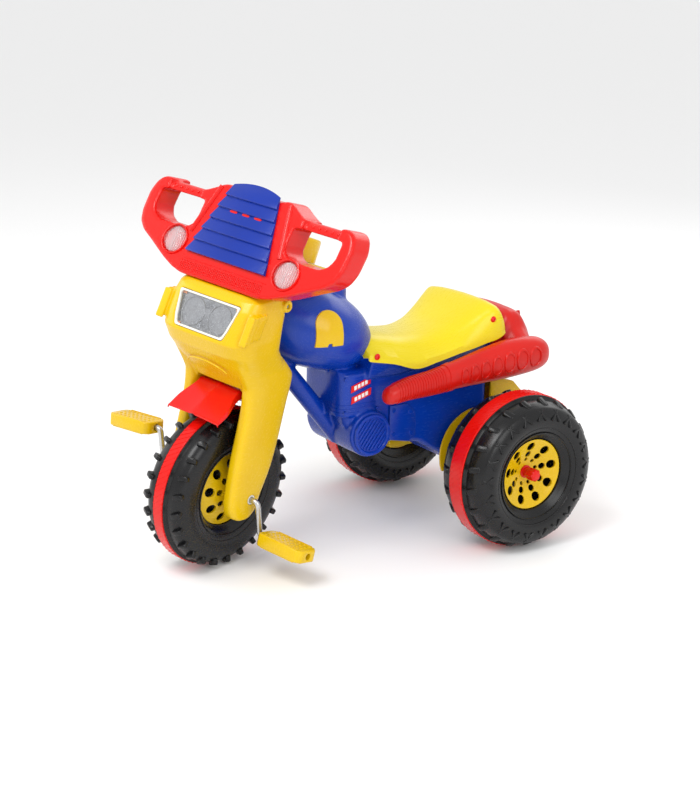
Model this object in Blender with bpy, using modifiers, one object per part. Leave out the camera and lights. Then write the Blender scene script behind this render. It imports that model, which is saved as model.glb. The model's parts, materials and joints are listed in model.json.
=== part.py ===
"""Child's plastic tricycle in motorbike style, as separate named sub-parts.

Metres, +Z up, the tricycle faces -Y and stands on z = 0. The front assembly is modelled
with its wheel straight ahead and then turned about the steering axis by its parent empty.
"""
from math import cos, pi, radians, sin, sqrt, tan

import bmesh
import bpy
from mathutils import Matrix, Quaternion, Vector

# ---------------------------------------------------------------- driving dimensions
WHEEL_RADIUS = 0.125          # over the crown band, front and rear
WHEELBASE = 0.446             # front axle to rear axle
REAR_TRACK = 0.354            # between the rear tyres' middle planes
FRONT_AXLE_Y = -0.223
RAKE = radians(20.0)          # steering axis leans back from the vertical
STEER_REST = radians(17.3)    # how far the front is turned to the rider's left as stored

GAP = 0.0004                  # between pieces that touch
RUN = 0.0008                  # round a turning shaft

REAR_TYRE_HALF = 0.055
FRONT_TYRE_HALF = 0.039
REAR_BAND_WIDTH = 0.030
FRONT_BAND_WIDTH = 0.019
BAND_THICKNESS = 0.0045
DISC_RADIUS = 0.057
DISC_WALL = 0.0025
HUB_RADIUS = 0.0125
REAR_DISC_FACE = 0.037        # disc rim outboard of the tyre's middle plane
REAR_DISH_DEPTH = 0.017
FRONT_DISC_FACE = 0.021
FRONT_CONE_HEIGHT = 0.018

REAR_AXLE_R = 0.005
REAR_AXLE_END = 0.217         # half length of the rear axle
CAP_R = 0.0105
CAP_LENGTH = 0.029

CRANK_R = 0.0045
CRANK_THROW = 0.0567
CRANK_ANGLE = radians(9.7)    # left arm's swing back from straight down
CRANK_LEFT_X = 0.086
CRANK_RIGHT_X = 0.116
CRANK_BEND = 0.008
PEDAL_LENGTH = 0.088
PEDAL_WIDTH = 0.043
PEDAL_HEIGHT = 0.019
PEDAL_TILT_LEFT = radians(-12.0)
PEDAL_TILT_RIGHT = radians(-6.0)
PIN_DROOP = radians(6.0)      # the right pin sags outward, bent in use

LEG_INNER_X = 0.0445
LEG_OUTER_X = 0.073
HEAD_CLEAR_R = 0.063          # room round the steering axis for the tank's nose
STEER_BOLT_R = 0.005
HEAD_BORE_R = 0.011
CROWN_TOP = 0.322             # heights on the steering axis
FLANGE_BASE = 0.4615
FLANGE_THICKNESS = 0.006
FLANGE_R = 0.068
COLUMN_R = 0.043
COLUMN_HEIGHT = 0.036
WEB_FOOT = 0.405              # the wall that carries the flange, up the steering axis
WEB_DEPTH = 0.008
WEB_HALF_WIDTH = 0.045
HOUSING_TOP = 0.445
EAR_R = 0.0095                # screw bosses on the housing's sides
EAR_Y = -0.189
EAR_Z = 0.427
SCREW_R = 0.0016

TANK_CENTRE = (0.0, -0.063, 0.356)
TANK_HALF = (0.085, 0.113, 0.064)
TANK_PITCH = radians(24.0)    # nose up
TANK_NOSE_TAPER = 0.30
PLATE_WALL = 0.0014

BODY_HALF_WIDTH = 0.067       # at the rear axle; the body narrows towards the front
BODY_TAPER = 0.062            # loss of half width per metre forward of the rear axle
COVER_X = 0.070               # outer face of the round crankcase cover
CASE_R = 0.037
COVER_R = 0.033
CASE_Y = 0.018
CASE_Z = 0.183
BLOCK_SIZE = (0.112, 0.080, 0.074)
BLOCK_CENTRE = (0.0, 0.004, 0.248)
DOWN_TUBE_R = 0.015

BAR_LEAN = radians(31.0)
BAR_ORIGIN = (0.0, -0.2273, 0.487)
BAR_DROP = radians(15.0)      # the plate's sides run back and down at this slope
BAR_DEPTH = 0.045
GRIP_R = 0.0145
GRIP_SET_BACK = 0.021
SHIELD_FOOT = -0.011          # up the handlebar's lean from its origin
SHIELD_TOP = 0.104
SHIELD_PROUD = 0.006
LAMP_R = 0.021
LAMP_X = 0.1105

SEAT_WALL = 0.003
RIVET_R = 0.0023
CARRIER_R = 0.0735
CARRIER_FOOT = 0.100          # the side plates end just under the axle
CARRIER_WALL = 0.004

REAR_AXLE_Y = FRONT_AXLE_Y + WHEELBASE
BODY_REAR_Y = REAR_AXLE_Y + 0.0235
DRAWN_AXLE_Y = 0.223          # rear axle's place in the body's, seat's and tail's outlines
WASHER_WALL = 0.0014
WASHER_FACE = REAR_TRACK / 2 - (REAR_DISC_FACE - REAR_DISH_DEPTH) - GAP
STEER_AXIS = Vector((0.0, sin(RAKE), cos(RAKE)))
LEAN = sin(RAKE) * sin(STEER_REST)          # sine of the turned wheel's lean
FRONT_AXLE_Z = WHEEL_RADIUS * sqrt(1.0 - LEAN * LEAN) + FRONT_BAND_WIDTH / 2 * LEAN
PIVOT = Vector((0.0, FRONT_AXLE_Y, FRONT_AXLE_Z))


# ---------------------------------------------------------------- scene and helpers
for old in list(bpy.data.objects):
    bpy.data.objects.remove(old, do_unlink=True)

trike = bpy.data.collections.new("tricycle")
guides = bpy.data.collections.new("cutters")
bpy.context.scene.collection.children.link(trike)
bpy.context.scene.collection.children.link(guides)

steering = bpy.data.objects.new("steering_pivot", None)
steering.location = PIVOT
steering.rotation_mode = "QUATERNION"
steering.rotation_quaternion = Quaternion(STEER_AXIS, STEER_REST)
trike.objects.link(steering)


def plastic(name, colour, roughness=0.35, metallic=0.0, alpha=1.0):
    material = bpy.data.materials.new(name)
    material.use_nodes = True
    shader = material.node_tree.nodes["Principled BSDF"]
    shader.inputs["Base Color"].default_value = (*colour, 1.0)
    shader.inputs["Roughness"].default_value = roughness
    shader.inputs["Metallic"].default_value = metallic
    shader.inputs["Alpha"].default_value = alpha
    return material


YELLOW = plastic("yellow_plastic", (0.78, 0.55, 0.01))
RED = plastic("red_plastic", (0.70, 0.02, 0.01))
BLUE = plastic("blue_plastic", (0.01, 0.04, 0.33))
BLACK = plastic("black_plastic", (0.015, 0.015, 0.015), 0.3)
WHITE = plastic("bush_plastic", (0.75, 0.75, 0.72), 0.5)
STEEL = plastic("zinc_steel", (0.55, 0.55, 0.56), 0.3, 1.0)
CHROME = plastic("chrome_film", (0.80, 0.80, 0.80), 0.1, 1.0)
CLEAR = plastic("clear_lens", (0.90, 0.90, 0.90), 0.05, 0.0, 0.35)


def add_object(name, data, material=None, front=False, at=(0, 0, 0)):
    """Link a new object; a front piece is placed with the wheel straight, under the pivot."""
    item = bpy.data.objects.new(name, data)
    if material:
        data.materials.append(material)
    trike.objects.link(item)
    item.location = Vector(at)
    if front:
        item.parent = steering
        item.location = Vector(at) - PIVOT
    return item


def as_mesh(name, bm, smooth=True):
    """Close a bmesh into mesh data with its faces pointing out."""
    bmesh.ops.remove_doubles(bm, verts=bm.verts, dist=0.00002)
    bmesh.ops.recalc_face_normals(bm, faces=bm.faces)
    mesh = bpy.data.meshes.new(name)
    bm.to_mesh(mesh)
    bm.free()
    if smooth:
        mesh.shade_smooth()
        mesh.set_sharp_from_angle(angle=radians(35))
    return mesh


def guide(item):
    """Keep a cutter or a joined shape out of the model."""
    trike.objects.unlink(item)
    guides.objects.link(item)
    item.hide_render = True
    item.display_type = "WIRE"
    return item


def boolean(target, operation, *others):
    for other in others:
        guide(other)
        modifier = target.modifiers.new(operation.lower(), "BOOLEAN")
        modifier.operation = operation
        modifier.object = other
    return target


def cut(target, *others):
    return boolean(target, "DIFFERENCE", *others)


def join(target, *others):
    return boolean(target, "UNION", *others)


def turned(name, profile, material, steps, closed=True, axis=(1, 0, 0), at=(0, 0, 0), front=False):
    """Turn a (radius, height) profile about an axis with Screw; it runs top to bottom outside."""
    mesh = bpy.data.meshes.new(name)
    edges = [(i, i + 1) for i in range(len(profile) - 1)]
    if closed:
        edges.append((len(profile) - 1, 0))
    mesh.from_pydata([(r, 0.0, h) for r, h in profile], edges, [])
    item = add_object(name, mesh, material, front, at)
    item.rotation_mode = "QUATERNION"
    item.rotation_quaternion = Vector((0, 0, 1)).rotation_difference(Vector(axis))
    screw = item.modifiers.new("turn", "SCREW")
    screw.axis = "Z"
    screw.steps = steps
    screw.render_steps = steps
    screw.use_merge_vertices = True
    screw.merge_threshold = 0.00002
    screw.use_smooth_shade = True
    return item


def rod(name, radius, length, material, steps=16, axis=(1, 0, 0), at=(0, 0, 0), front=False):
    """A plain round bar whose middle is at `at`."""
    half = length / 2
    profile = [(0, half), (radius, half), (radius, -half), (0, -half)]
    return turned(name, profile, material, steps, False, axis, at, front)


def ring(name, outer, inner, low, high, material, steps=24, axis=(1, 0, 0), at=(0, 0, 0), front=False):
    profile = [(outer, high), (outer, low), (inner, low), (inner, high)]
    return turned(name, profile, material, steps, True, axis, at, front)


def box(name, size, centre, material, bevel=0.0, front=False, tilt=0.0, segments=2):
    """A rounded block, tilted about X."""
    bm = bmesh.new()
    bmesh.ops.create_cube(bm, size=1.0)
    bmesh.ops.scale(bm, vec=size, verts=bm.verts)
    item = add_object(name, as_mesh(name, bm), material, front, centre)
    item.rotation_euler = (tilt, 0, 0)
    if bevel:
        rounding = item.modifiers.new("rounding", "BEVEL")
        rounding.width = bevel
        rounding.segments = segments
    return item


def loft(name, sections, material, front=False, capped=True, at=(0, 0, 0)):
    """Skin equal-length rings of points; the rings are closed and the ends are capped."""
    bm = bmesh.new()
    rings = [[bm.verts.new(p) for p in section] for section in sections]
    for first, second in zip(rings, rings[1:]):
        for i in range(len(first)):
            j = (i + 1) % len(first)
            bm.faces.new((first[i], first[j], second[j], second[i]))
    if capped:
        bm.faces.new(rings[0][::-1])
        bm.faces.new(rings[-1])
    return add_object(name, as_mesh(name, bm), material, front, at)


def squircle(half_a, half_b, count, power=2.6):
    """Points of a rounded rectangle, from a superellipse."""
    points = []
    for i in range(count):
        angle = 2 * pi * (i + 0.5) / count
        ca, sa = cos(angle), sin(angle)
        a = half_a * abs(ca) ** (2 / power) * (1 if ca > 0 else -1)
        b = half_b * abs(sa) ** (2 / power) * (1 if sa > 0 else -1)
        points.append((a, b))
    return points


def slab(name, outline, half_thickness, material, normal="X", front=False, at=(0, 0, 0)):
    """Extrude a flat outline both ways along `normal`, as a mesh made from a 2D curve."""
    curve = bpy.data.curves.new(name, "CURVE")
    curve.dimensions = "2D"
    curve.fill_mode = "BOTH"
    curve.extrude = half_thickness
    spline = curve.splines.new("POLY")
    spline.points.add(len(outline) - 1)
    for point, (a, b) in zip(spline.points, outline):
        point.co = (a, b, 0, 1)
    spline.use_cyclic_u = True
    source = bpy.data.objects.new(name + "_curve", curve)
    trike.objects.link(source)
    graph = bpy.context.evaluated_depsgraph_get()
    mesh = bpy.data.meshes.new_from_object(source.evaluated_get(graph))
    bpy.data.objects.remove(source)
    bpy.data.curves.remove(curve)
    bm = bmesh.new()
    bm.from_mesh(mesh)
    if normal == "X":                       # outline is (y, z)
        swap = Matrix(((0, 0, 1, 0), (1, 0, 0, 0), (0, 1, 0, 0), (0, 0, 0, 1)))
        bmesh.ops.transform(bm, matrix=swap, verts=bm.verts)
    bpy.data.meshes.remove(mesh)
    return add_object(name, as_mesh(name, bm), material, front, at)


def arc(centre, radius, start, end, count):
    """Points along a circle's arc, angles in degrees."""
    points = []
    for i in range(count + 1):
        angle = radians(start + (end - start) * i / count)
        points.append((centre[0] + radius * cos(angle), centre[1] + radius * sin(angle)))
    return points


def axis_point(height):
    """The point of the steering axis at a height z, wheel straight."""
    return Vector((0.0, FRONT_AXLE_Y + tan(RAKE) * (height - FRONT_AXLE_Z), height))


def bar_point(x, up, back=0.0):
    """A point on the handlebar plate: across, up along its lean, and behind its face."""
    return Vector((x,
                   BAR_ORIGIN[1] + up * sin(BAR_LEAN) + back * cos(BAR_LEAN),
                   BAR_ORIGIN[2] + up * cos(BAR_LEAN) - back * sin(BAR_LEAN)))


def aft(y):
    """Where a station of the body, seat or tail goes when the wheelbase changes."""
    share = min(1.0, max(0.0, (y - 0.055) / 0.115))
    return y + (REAR_AXLE_Y - DRAWN_AXLE_Y) * share


# ---------------------------------------------------------------- wheels
def tyre_profile(half, band_half, face):
    """Half outline of a blow-moulded tyre as (radius, height), mirrored about its middle."""
    groove = WHEEL_RADIUS - BAND_THICKNESS - GAP
    crown = WHEEL_RADIUS - 0.002
    top = [(groove, band_half + GAP), (crown, band_half + GAP), (crown - 0.001, half * 0.68),
           (WHEEL_RADIUS * 0.90, half * 0.90), (WHEEL_RADIUS * 0.77, half),
           (WHEEL_RADIUS * 0.60, half * 0.95), (DISC_RADIUS + GAP, face)]
    below = [(r, -h) for r, h in top]
    return below[::-1][:1] + top[::-1][:1] + top[::-1][1:] + below[:-1]


def ring_down(points):
    """A closed profile in the order that Screw turns the right way out."""
    area = sum(a[0] * b[1] - b[0] * a[1] for a, b in zip(points, points[1:] + points[:1]))
    return points if area < 0 else points[::-1]


def make_tyre(name, half, band_width, face, at, front=False):
    profile = ring_down(tyre_profile(half, band_width / 2, face))
    return turned(name, profile, BLACK, 36, True, (1, 0, 0), at, front)


def make_band(name, width, at, front=False):
    inner = WHEEL_RADIUS - BAND_THICKNESS
    profile = [(WHEEL_RADIUS, width / 2 - 0.001), (WHEEL_RADIUS, 0.001 - width / 2),
               (inner, -width / 2), (inner, width / 2)]
    return turned(name, ring_down(profile), RED, 36, True, (1, 0, 0), at, front)


def make_disc(name, face, centre_height, bore, at, side, front=False):
    """Dished or coned hub disc with a sleeve to the wheel's middle; side is +1 outboard."""
    rim = DISC_RADIUS
    inner_face = centre_height - DISC_WALL
    profile = [(bore, GAP / 2), (HUB_RADIUS, GAP / 2), (HUB_RADIUS, inner_face),
               (rim - DISC_WALL, face - DISC_WALL), (rim - DISC_WALL, face - 0.012),
               (rim, face - 0.012), (rim, face), (HUB_RADIUS, centre_height), (bore, centre_height)]
    profile = [(r, h * side) for r, h in profile]
    return turned(name, ring_down(profile), YELLOW, 24, True, (1, 0, 0), at, front)


def make_rear_wheel(side, word):
    at = (side * REAR_TRACK / 2, REAR_AXLE_Y, WHEEL_RADIUS)
    make_tyre(f"rear_tyre_{word}", REAR_TYRE_HALF, REAR_BAND_WIDTH, REAR_DISC_FACE, at)
    make_band(f"rear_band_{word}", REAR_BAND_WIDTH, at)
    bore = REAR_AXLE_R + RUN
    centre = REAR_DISC_FACE - REAR_DISH_DEPTH
    make_disc(f"rear_disc_outer_{word}", REAR_DISC_FACE, centre, bore, at, side)
    make_disc(f"rear_disc_inner_{word}", REAR_DISC_FACE, centre, bore, at, -side)
    base = REAR_TRACK / 2 + centre + GAP
    tip = base + CAP_LENGTH
    seat = REAR_AXLE_END + GAP
    bore = REAR_AXLE_R + GAP
    profile = [(0, tip), (CAP_R * 0.6, tip), (CAP_R, tip - 0.004), (CAP_R, tip - 0.014),
               (CAP_R * 0.72, tip - 0.017), (CAP_R * 0.72, base + 0.003), (CAP_R, base), (bore, base), (bore, seat), (0, seat)]
    if side < 0:
        profile = [(r, -h) for r, h in profile][::-1]
    turned(f"hub_cap_{word}", profile, RED, 16, False, (1, 0, 0), (0, REAR_AXLE_Y, WHEEL_RADIUS))
    low, high = sorted((side * (WASHER_FACE - WASHER_WALL), side * WASHER_FACE))
    ring(f"rear_washer_{word}", 0.0105, bore + GAP, low, high, STEEL, 16, at=(0, REAR_AXLE_Y, WHEEL_RADIUS))


def make_front_wheel():
    make_tyre("front_tyre", FRONT_TYRE_HALF, FRONT_BAND_WIDTH, FRONT_DISC_FACE, PIVOT, True)
    make_band("front_band", FRONT_BAND_WIDTH, PIVOT, True)
    bore = CRANK_R + GAP
    centre = FRONT_DISC_FACE + FRONT_CONE_HEIGHT
    for side, word in ((1, "left"), (-1, "right")):
        make_disc(f"front_disc_{word}", FRONT_DISC_FACE, centre, bore, PIVOT, side, True)


# ---------------------------------------------------------------- cranks and pedals
def crank_pin(side):
    """Middle line of a pedal pin where its arm ends, wheel straight."""
    swing = Vector((0.0, sin(CRANK_ANGLE), -cos(CRANK_ANGLE))) * CRANK_THROW * side
    return Vector((CRANK_LEFT_X if side > 0 else -CRANK_RIGHT_X, PIVOT.y + swing.y, PIVOT.z + swing.z))


def pin_way(side):
    """Unit vector out along a pedal pin."""
    return Vector((1, 0, 0)) if side > 0 else Vector((-cos(PIN_DROOP), 0, -sin(PIN_DROOP)))


def bent_route(corners, bend, steps=4):
    """Round the inner corners of a route of straight runs."""
    points = [corners[0]]
    for before, corner, after in zip(corners, corners[1:], corners[2:]):
        start = corner + (before - corner).normalized() * bend
        end = corner + (after - corner).normalized() * bend
        for i in range(steps + 1):
            t = i / steps
            points.append(start.lerp(corner, t).lerp(corner.lerp(end, t), t))
    points.append(corners[-1])
    return points


def wire(name, points, radius, material, front=False, resolution=2):
    """A bent bar: a poly curve with a round bevel and filled caps."""
    curve = bpy.data.curves.new(name, "CURVE")
    curve.dimensions = "3D"
    curve.bevel_depth = radius
    curve.bevel_resolution = resolution
    curve.use_fill_caps = True
    spline = curve.splines.new("POLY")
    spline.points.add(len(points) - 1)
    for point, place in zip(spline.points, points):
        point.co = (*(place - PIVOT if front else place), 1)
    item = add_object(name, curve, material, front, PIVOT if front else (0, 0, 0))
    return item


def make_crank():
    left, right = crank_pin(1), crank_pin(-1)
    reach = PEDAL_LENGTH * 0.86
    corners = [right + pin_way(-1) * reach, right, Vector((right.x, PIVOT.y, PIVOT.z)),
               Vector((left.x, PIVOT.y, PIVOT.z)), left, left + pin_way(1) * reach]
    wire("crank_axle", bent_route(corners, CRANK_BEND), CRANK_R, STEEL, True)


def make_pedal(word, side, tilt):
    """Block pedal on its pin, with chamfered corners and a bore along it."""
    centre = crank_pin(side) + pin_way(side) * (CRANK_R + 0.005 + PEDAL_LENGTH / 2)
    turn = Vector((side, 0, 0)).rotation_difference(pin_way(side)) @ Quaternion((1, 0, 0), tilt)
    bm = bmesh.new()
    half_l, half_w, half_h = PEDAL_LENGTH / 2, PEDAL_WIDTH / 2, PEDAL_HEIGHT / 2
    cut_off = PEDAL_WIDTH * 0.16
    outline = [(-half_l + cut_off, -half_w), (half_l - cut_off, -half_w), (half_l, -half_w + cut_off),
               (half_l, half_w - cut_off), (half_l - cut_off, half_w), (-half_l + cut_off, half_w),
               (-half_l, half_w - cut_off), (-half_l, -half_w + cut_off)]
    low = [bm.verts.new((a, b, -half_h)) for a, b in outline]
    high = [bm.verts.new((a, b, half_h)) for a, b in outline]
    bm.faces.new(low[::-1])
    bm.faces.new(high)
    for i in range(len(outline)):
        j = (i + 1) % len(outline)
        bm.faces.new((low[i], low[j], high[j], high[i]))
    pedal = add_object(f"pedal_{word}", as_mesh("pedal", bm, False), YELLOW, True, centre)
    pedal.rotation_mode = "QUATERNION"
    pedal.rotation_quaternion = turn
    rounding = pedal.modifiers.new("rounding", "BEVEL")
    rounding.width = 0.0015
    rounding.segments = 1
    bore = rod(f"pedal_bore_{word}", CRANK_R + RUN, PEDAL_LENGTH * 2, None, 16, pin_way(side), centre, True)
    cut(pedal, bore)


# ---------------------------------------------------------------- fork, lamp and fender
def fork_leg(side):
    """One leg, lofted down from the head; each station is z, front y, rear y."""
    stations = [(0.345, -0.262, -0.176), (0.312, -0.242, -0.146), (0.296, -0.238, -0.142),
                (0.262, -0.240, -0.151), (0.203, -0.252, -0.165), (0.165, -0.258, -0.177),
                (0.125, -0.262, -0.197), (0.104, -0.258, -0.207), (0.096, -0.248, -0.222)]
    sections = []
    mid_x = (LEG_INNER_X + LEG_OUTER_X) / 2
    half_x = (LEG_OUTER_X - LEG_INNER_X) / 2
    for z, front_y, rear_y in stations:
        ring_points = squircle(half_x, (rear_y - front_y) / 2, 16, 3.2)
        slope = 0.35 * (z - 0.10)
        sections.append([(side * (mid_x + a), (front_y + rear_y) / 2 + b, z + slope * b) for a, b in ring_points])
    return loft(f"fork_leg_{side}", [[Vector(p) - PIVOT for p in s] for s in sections], YELLOW, True, at=PIVOT)


def head_block():
    """The lamp housing above the legs; each station is z, front y, rear y, half width."""
    stations = [(0.292, -0.232, -0.142, 0.067), (0.312, -0.243, -0.142, 0.071), (0.335, -0.262, -0.160, 0.076),
                (0.356, -0.277, -0.176, 0.081), (0.378, -0.286, -0.176, 0.084), (0.398, -0.279, -0.174, 0.084),
                (0.425, -0.266, -0.170, 0.083), (0.438, -0.257, -0.166, 0.081),
                (HOUSING_TOP, -0.248, -0.160, 0.076)]
    sections = []
    for z, front_y, rear_y, half_x in stations:
        points = squircle(half_x, (rear_y - front_y) / 2, 24, 4.5)
        sections.append([Vector((a, (front_y + rear_y) / 2 + b, z)) - PIVOT for a, b in points])
    return loft("fork", sections, YELLOW, True, at=PIVOT)


def window_outline(grow=0.0):
    """The lamp window on its slope: across, and up from its bottom edge."""
    return [(-0.047 - grow, -grow), (0.047 + grow, -grow), (0.053 + grow, 0.016), (0.060 + grow, 0.054 + grow),
            (-0.060 - grow, 0.054 + grow), (-0.053 - grow, 0.016)]


def lamp_slab(name, grow, front_set, thickness, material):
    """A plate of the window's outline on the housing's slope, set back from its face."""
    item = slab(name, window_outline(grow), thickness / 2, material, "Z", True)
    slope = radians(26.0)
    turn = Matrix(((1, 0, 0, 0), (0, sin(slope), cos(slope), 0), (0, cos(slope), -sin(slope), 0), (0, 0, 0, 1)))
    foot = Vector((0.0, -0.2835, 0.383))
    inward = Vector((0.0, cos(slope), -sin(slope)))
    item.data.transform(turn)
    item.data.flip_normals()
    item.location = foot + inward * (front_set + thickness / 2) - PIVOT
    return item


def make_fork():
    fork = head_block()
    join(fork, fork_leg(1), fork_leg(-1))
    flange = rod("flange", FLANGE_R, FLANGE_THICKNESS, YELLOW, 28, STEER_AXIS,
                 axis_point(FLANGE_BASE) + STEER_AXIS * FLANGE_THICKNESS / 2, True)
    web_low, web_high = axis_point(WEB_FOOT), axis_point(FLANGE_BASE) + STEER_AXIS * FLANGE_THICKNESS
    forward = Vector((0.0, -cos(RAKE), sin(RAKE)))
    web = box("web", (2 * WEB_HALF_WIDTH, WEB_DEPTH, (web_high - web_low).length),
              (web_low + web_high) / 2 + forward * (HEAD_CLEAR_R + WEB_DEPTH / 2 - 0.0005), None, 0.0, True, -RAKE)
    join(fork, flange, web)
    for side in (1, -1):
        ribs = box(f"side_block_{side}", (0.020, 0.026, 0.044), (side * 0.084, -0.257, 0.404), None, 0.003, True,
                   -0.44)
        ear = rod(f"ear_{side}", EAR_R, 0.020, None, 20, (1, 0, 0), (side * 0.0785, EAR_Y, EAR_Z), True)
        join(fork, ribs, ear)
    room = axis_point(FLANGE_BASE) - axis_point(CROWN_TOP)
    clear = rod("nose_room", HEAD_CLEAR_R, room.length, None, 28, STEER_AXIS,
                axis_point((CROWN_TOP + FLANGE_BASE) / 2), True)
    wheel_room = rod("wheel_room", WHEEL_RADIUS + 0.016, 2 * LEG_INNER_X, None, 32, (1, 0, 0), PIVOT, True)
    bolt_hole = rod("fork_bolt_hole", STEER_BOLT_R + GAP, 0.4, None, 16, STEER_AXIS, axis_point(0.38), True)
    axle_hole = rod("fork_axle_hole", CRANK_R + RUN + 0.0025, 0.3, None, 16, (1, 0, 0), PIVOT, True)
    lamp_hole = lamp_slab("lamp_hole", GAP, -0.03, 0.052, None)
    fender_room = box("fender_room", (2 * LEG_INNER_X, 0.140, 0.060), (0, -0.195, 0.267), None, 0.0, True)
    cut(fork, clear, wheel_room, fender_room, bolt_hole, axle_hole, lamp_hole)
    for side, word in ((1, "left"), (-1, "right")):
        mouth = Vector((side * 0.0885, EAR_Y, EAR_Z))
        cut(fork, rod(f"ear_hole_{word}", 0.0036, 0.012, None, 12, (1, 0, 0), mouth, True))
        cut(fork, rod(f"ear_pilot_{word}", SCREW_R + GAP, 0.060, None, 12, (1, 0, 0), mouth, True))
        make_screw(f"bar_screw_{word}", (side, 0, 0), Vector((side * 0.083, EAR_Y, EAR_Z)))
    for side, word in ((1, "left"), (-1, "right")):
        low, high = sorted((side * (LEG_INNER_X + GAP), side * (LEG_OUTER_X - GAP)))
        ring(f"fork_bush_{word}", CRANK_R + RUN + 0.0025 - GAP, CRANK_R + RUN, low, high, WHITE, 16,
             at=PIVOT, front=True)


def make_lamp():
    reflector = lamp_slab("lamp_reflector", -0.0006, 0.004, 0.017, CHROME)
    slope = radians(26.0)
    inward = Vector((0.0, cos(slope), -sin(slope)))
    up = Vector((0.0, sin(slope), cos(slope)))
    for side in (1, -1):
        bm = bmesh.new()
        bmesh.ops.create_uvsphere(bm, u_segments=20, v_segments=10, radius=0.0235)
        bowl = add_object(f"bowl_{side}", as_mesh("bowl", bm), None, True)
        centre = Vector((side * 0.0265, -0.2835, 0.383)) + up * 0.027 - inward * 0.006
        bowl.location = centre - PIVOT
        cut(reflector, bowl)
    lamp_slab("lamp_lens", -0.0006, 0.0, 0.0025, CLEAR)


def make_fender():
    """Flat-topped fender: a folded strip with a wider lip in front of the legs."""
    ridge = [(-0.146, 0.236, 0.040, 0.008), (-0.170, 0.262, 0.041, 0.009), (-0.200, 0.284, 0.041, 0.012),
             (-0.226, 0.2915, 0.041, 0.014), (-0.240, 0.285, 0.042, 0.013), (-0.262, 0.271, 0.0505, 0.008),
             (-0.283, 0.258, 0.0520, 0.003)]
    bm = bmesh.new()
    rows = []
    for y, z, half, drop in ridge:
        line = [(-half, y, z - drop), (-half * 0.97, y, z - 0.001), (-half * 0.5, y, z + 0.0005),
                (0.0, y, z + 0.001), (half * 0.5, y, z + 0.0005), (half * 0.97, y, z - 0.001), (half, y, z - drop)]
        rows.append([bm.verts.new(Vector(p) - PIVOT) for p in line])
    for first, second in zip(rows, rows[1:]):
        for a, b, c, d in zip(first, first[1:], second[1:], second):
            bm.faces.new((a, b, c, d))
    mesh = bpy.data.meshes.new("fender")
    bm.to_mesh(mesh)
    bm.free()
    mesh.shade_smooth()
    fender = add_object("fender", mesh, RED, True, PIVOT)
    wall = fender.modifiers.new("wall", "SOLIDIFY")
    wall.thickness = 0.0025
    wall.offset = -1.0


# ---------------------------------------------------------------- handlebar
def bar_outline():
    """Right half of the handlebar plate, across and up its lean, from the bottom middle."""
    return [(0.0, -0.047), (0.078, -0.046), (0.098, -0.041), (0.120, -0.032), (0.157, -0.013), (0.180, -0.002),
            (0.193, 0.010), (0.199, 0.028), (0.200, 0.060), (0.194, 0.078), (0.184, 0.087), (0.170, 0.088),
            (0.162, 0.084), (0.098, 0.084), (0.082, 0.092), (0.066, 0.101), (0.056, 0.102), (0.046, 0.098),
            (0.0, 0.098)]


def hand_hole():
    return [(0.094, 0.027), (0.108, 0.021), (0.158, 0.021), (0.171, 0.028), (0.178, 0.040), (0.178, 0.069),
            (0.088, 0.069), (0.088, 0.037)]


def bar_slab(name, outline, front_set, thickness, material):
    """Extrude an outline on the handlebar's plane back along its drop, from front_set behind it."""
    item = slab(name, outline, thickness / 2, material, "Z", True)
    turn = Matrix(((1, 0, 0, 0), (0, sin(BAR_LEAN), cos(BAR_DROP), 0), (0, cos(BAR_LEAN), -sin(BAR_DROP), 0),
                   (0, 0, 0, 1)))
    item.data.transform(turn)
    item.data.flip_normals()
    back = Vector((0.0, cos(BAR_DROP), -sin(BAR_DROP)))
    item.location = bar_point(0, 0) + back * (front_set + thickness / 2) - PIVOT
    return item


def make_handlebar():
    half = bar_outline()
    outline = half + [(-x, s) for x, s in half[::-1][1:-1]]
    bar = bar_slab("handlebar", outline, 0.0, BAR_DEPTH, RED)
    rounding = bar.modifiers.new("rounding", "BEVEL")
    rounding.width = 0.006
    rounding.segments = 2
    rounding.limit_method = "ANGLE"
    rounding.angle_limit = radians(50)
    for side in (1, -1):
        hole = [(side * x, s) for x, s in hand_hole()]
        cut(bar, bar_slab(f"hand_hole_{side}", hole, -0.02, BAR_DEPTH + 0.04, None))
        grip = rod(f"grip_{side}", GRIP_R, 0.104, RED, 20, (1, 0, 0),
                   bar_point(side * 0.133, 0.0745, GRIP_SET_BACK), True)
        join(bar, grip)
        seat = rod(f"lamp_seat_{side}", LAMP_R + GAP, 0.012, None, 28, (0, -cos(BAR_LEAN), sin(BAR_LEAN)),
                   bar_point(side * LAMP_X, 0, 0), True)
        cut(bar, seat)
        word = "left" if side > 0 else "right"
        profile = [(0, 0.011), (LAMP_R * 0.35, 0.0102), (LAMP_R * 0.68, 0.0078), (LAMP_R * 0.92, 0.0045),
                   (LAMP_R, 0.001), (LAMP_R, -0.002), (0, -0.002)]
        turned(f"bar_lens_{word}", profile, CLEAR, 24, False, (0, -cos(BAR_LEAN), sin(BAR_LEAN)),
               bar_point(side * LAMP_X, 0, 0.0028), True)
    trim = box("bar_trim", (0.180, 0.120, 0.060), (0, -0.210, HOUSING_TOP + GAP - 0.030), None, 0.0, True)
    forward = Vector((0.0, -cos(RAKE), sin(RAKE)))
    web_room = box("web_room", (2 * WEB_HALF_WIDTH + 0.006, 0.060, 0.080),
                   axis_point(0.452) + forward * (HEAD_CLEAR_R + WEB_DEPTH + 0.001 - 0.030), None, 0.0, True, -RAKE)
    cut(bar, trim, web_room)


def make_screw(name, axis, at):
    """Pan-head screw, standing in a bore that is a little wider."""
    profile = [(0, 0.0030), (0.0022, 0.0028), (0.0031, 0.0018), (0.0031, 0.0), (SCREW_R, 0.0), (SCREW_R, -0.012),
               (0, -0.012)]
    turned(name, profile, STEEL, 12, False, axis, at, True)


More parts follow.
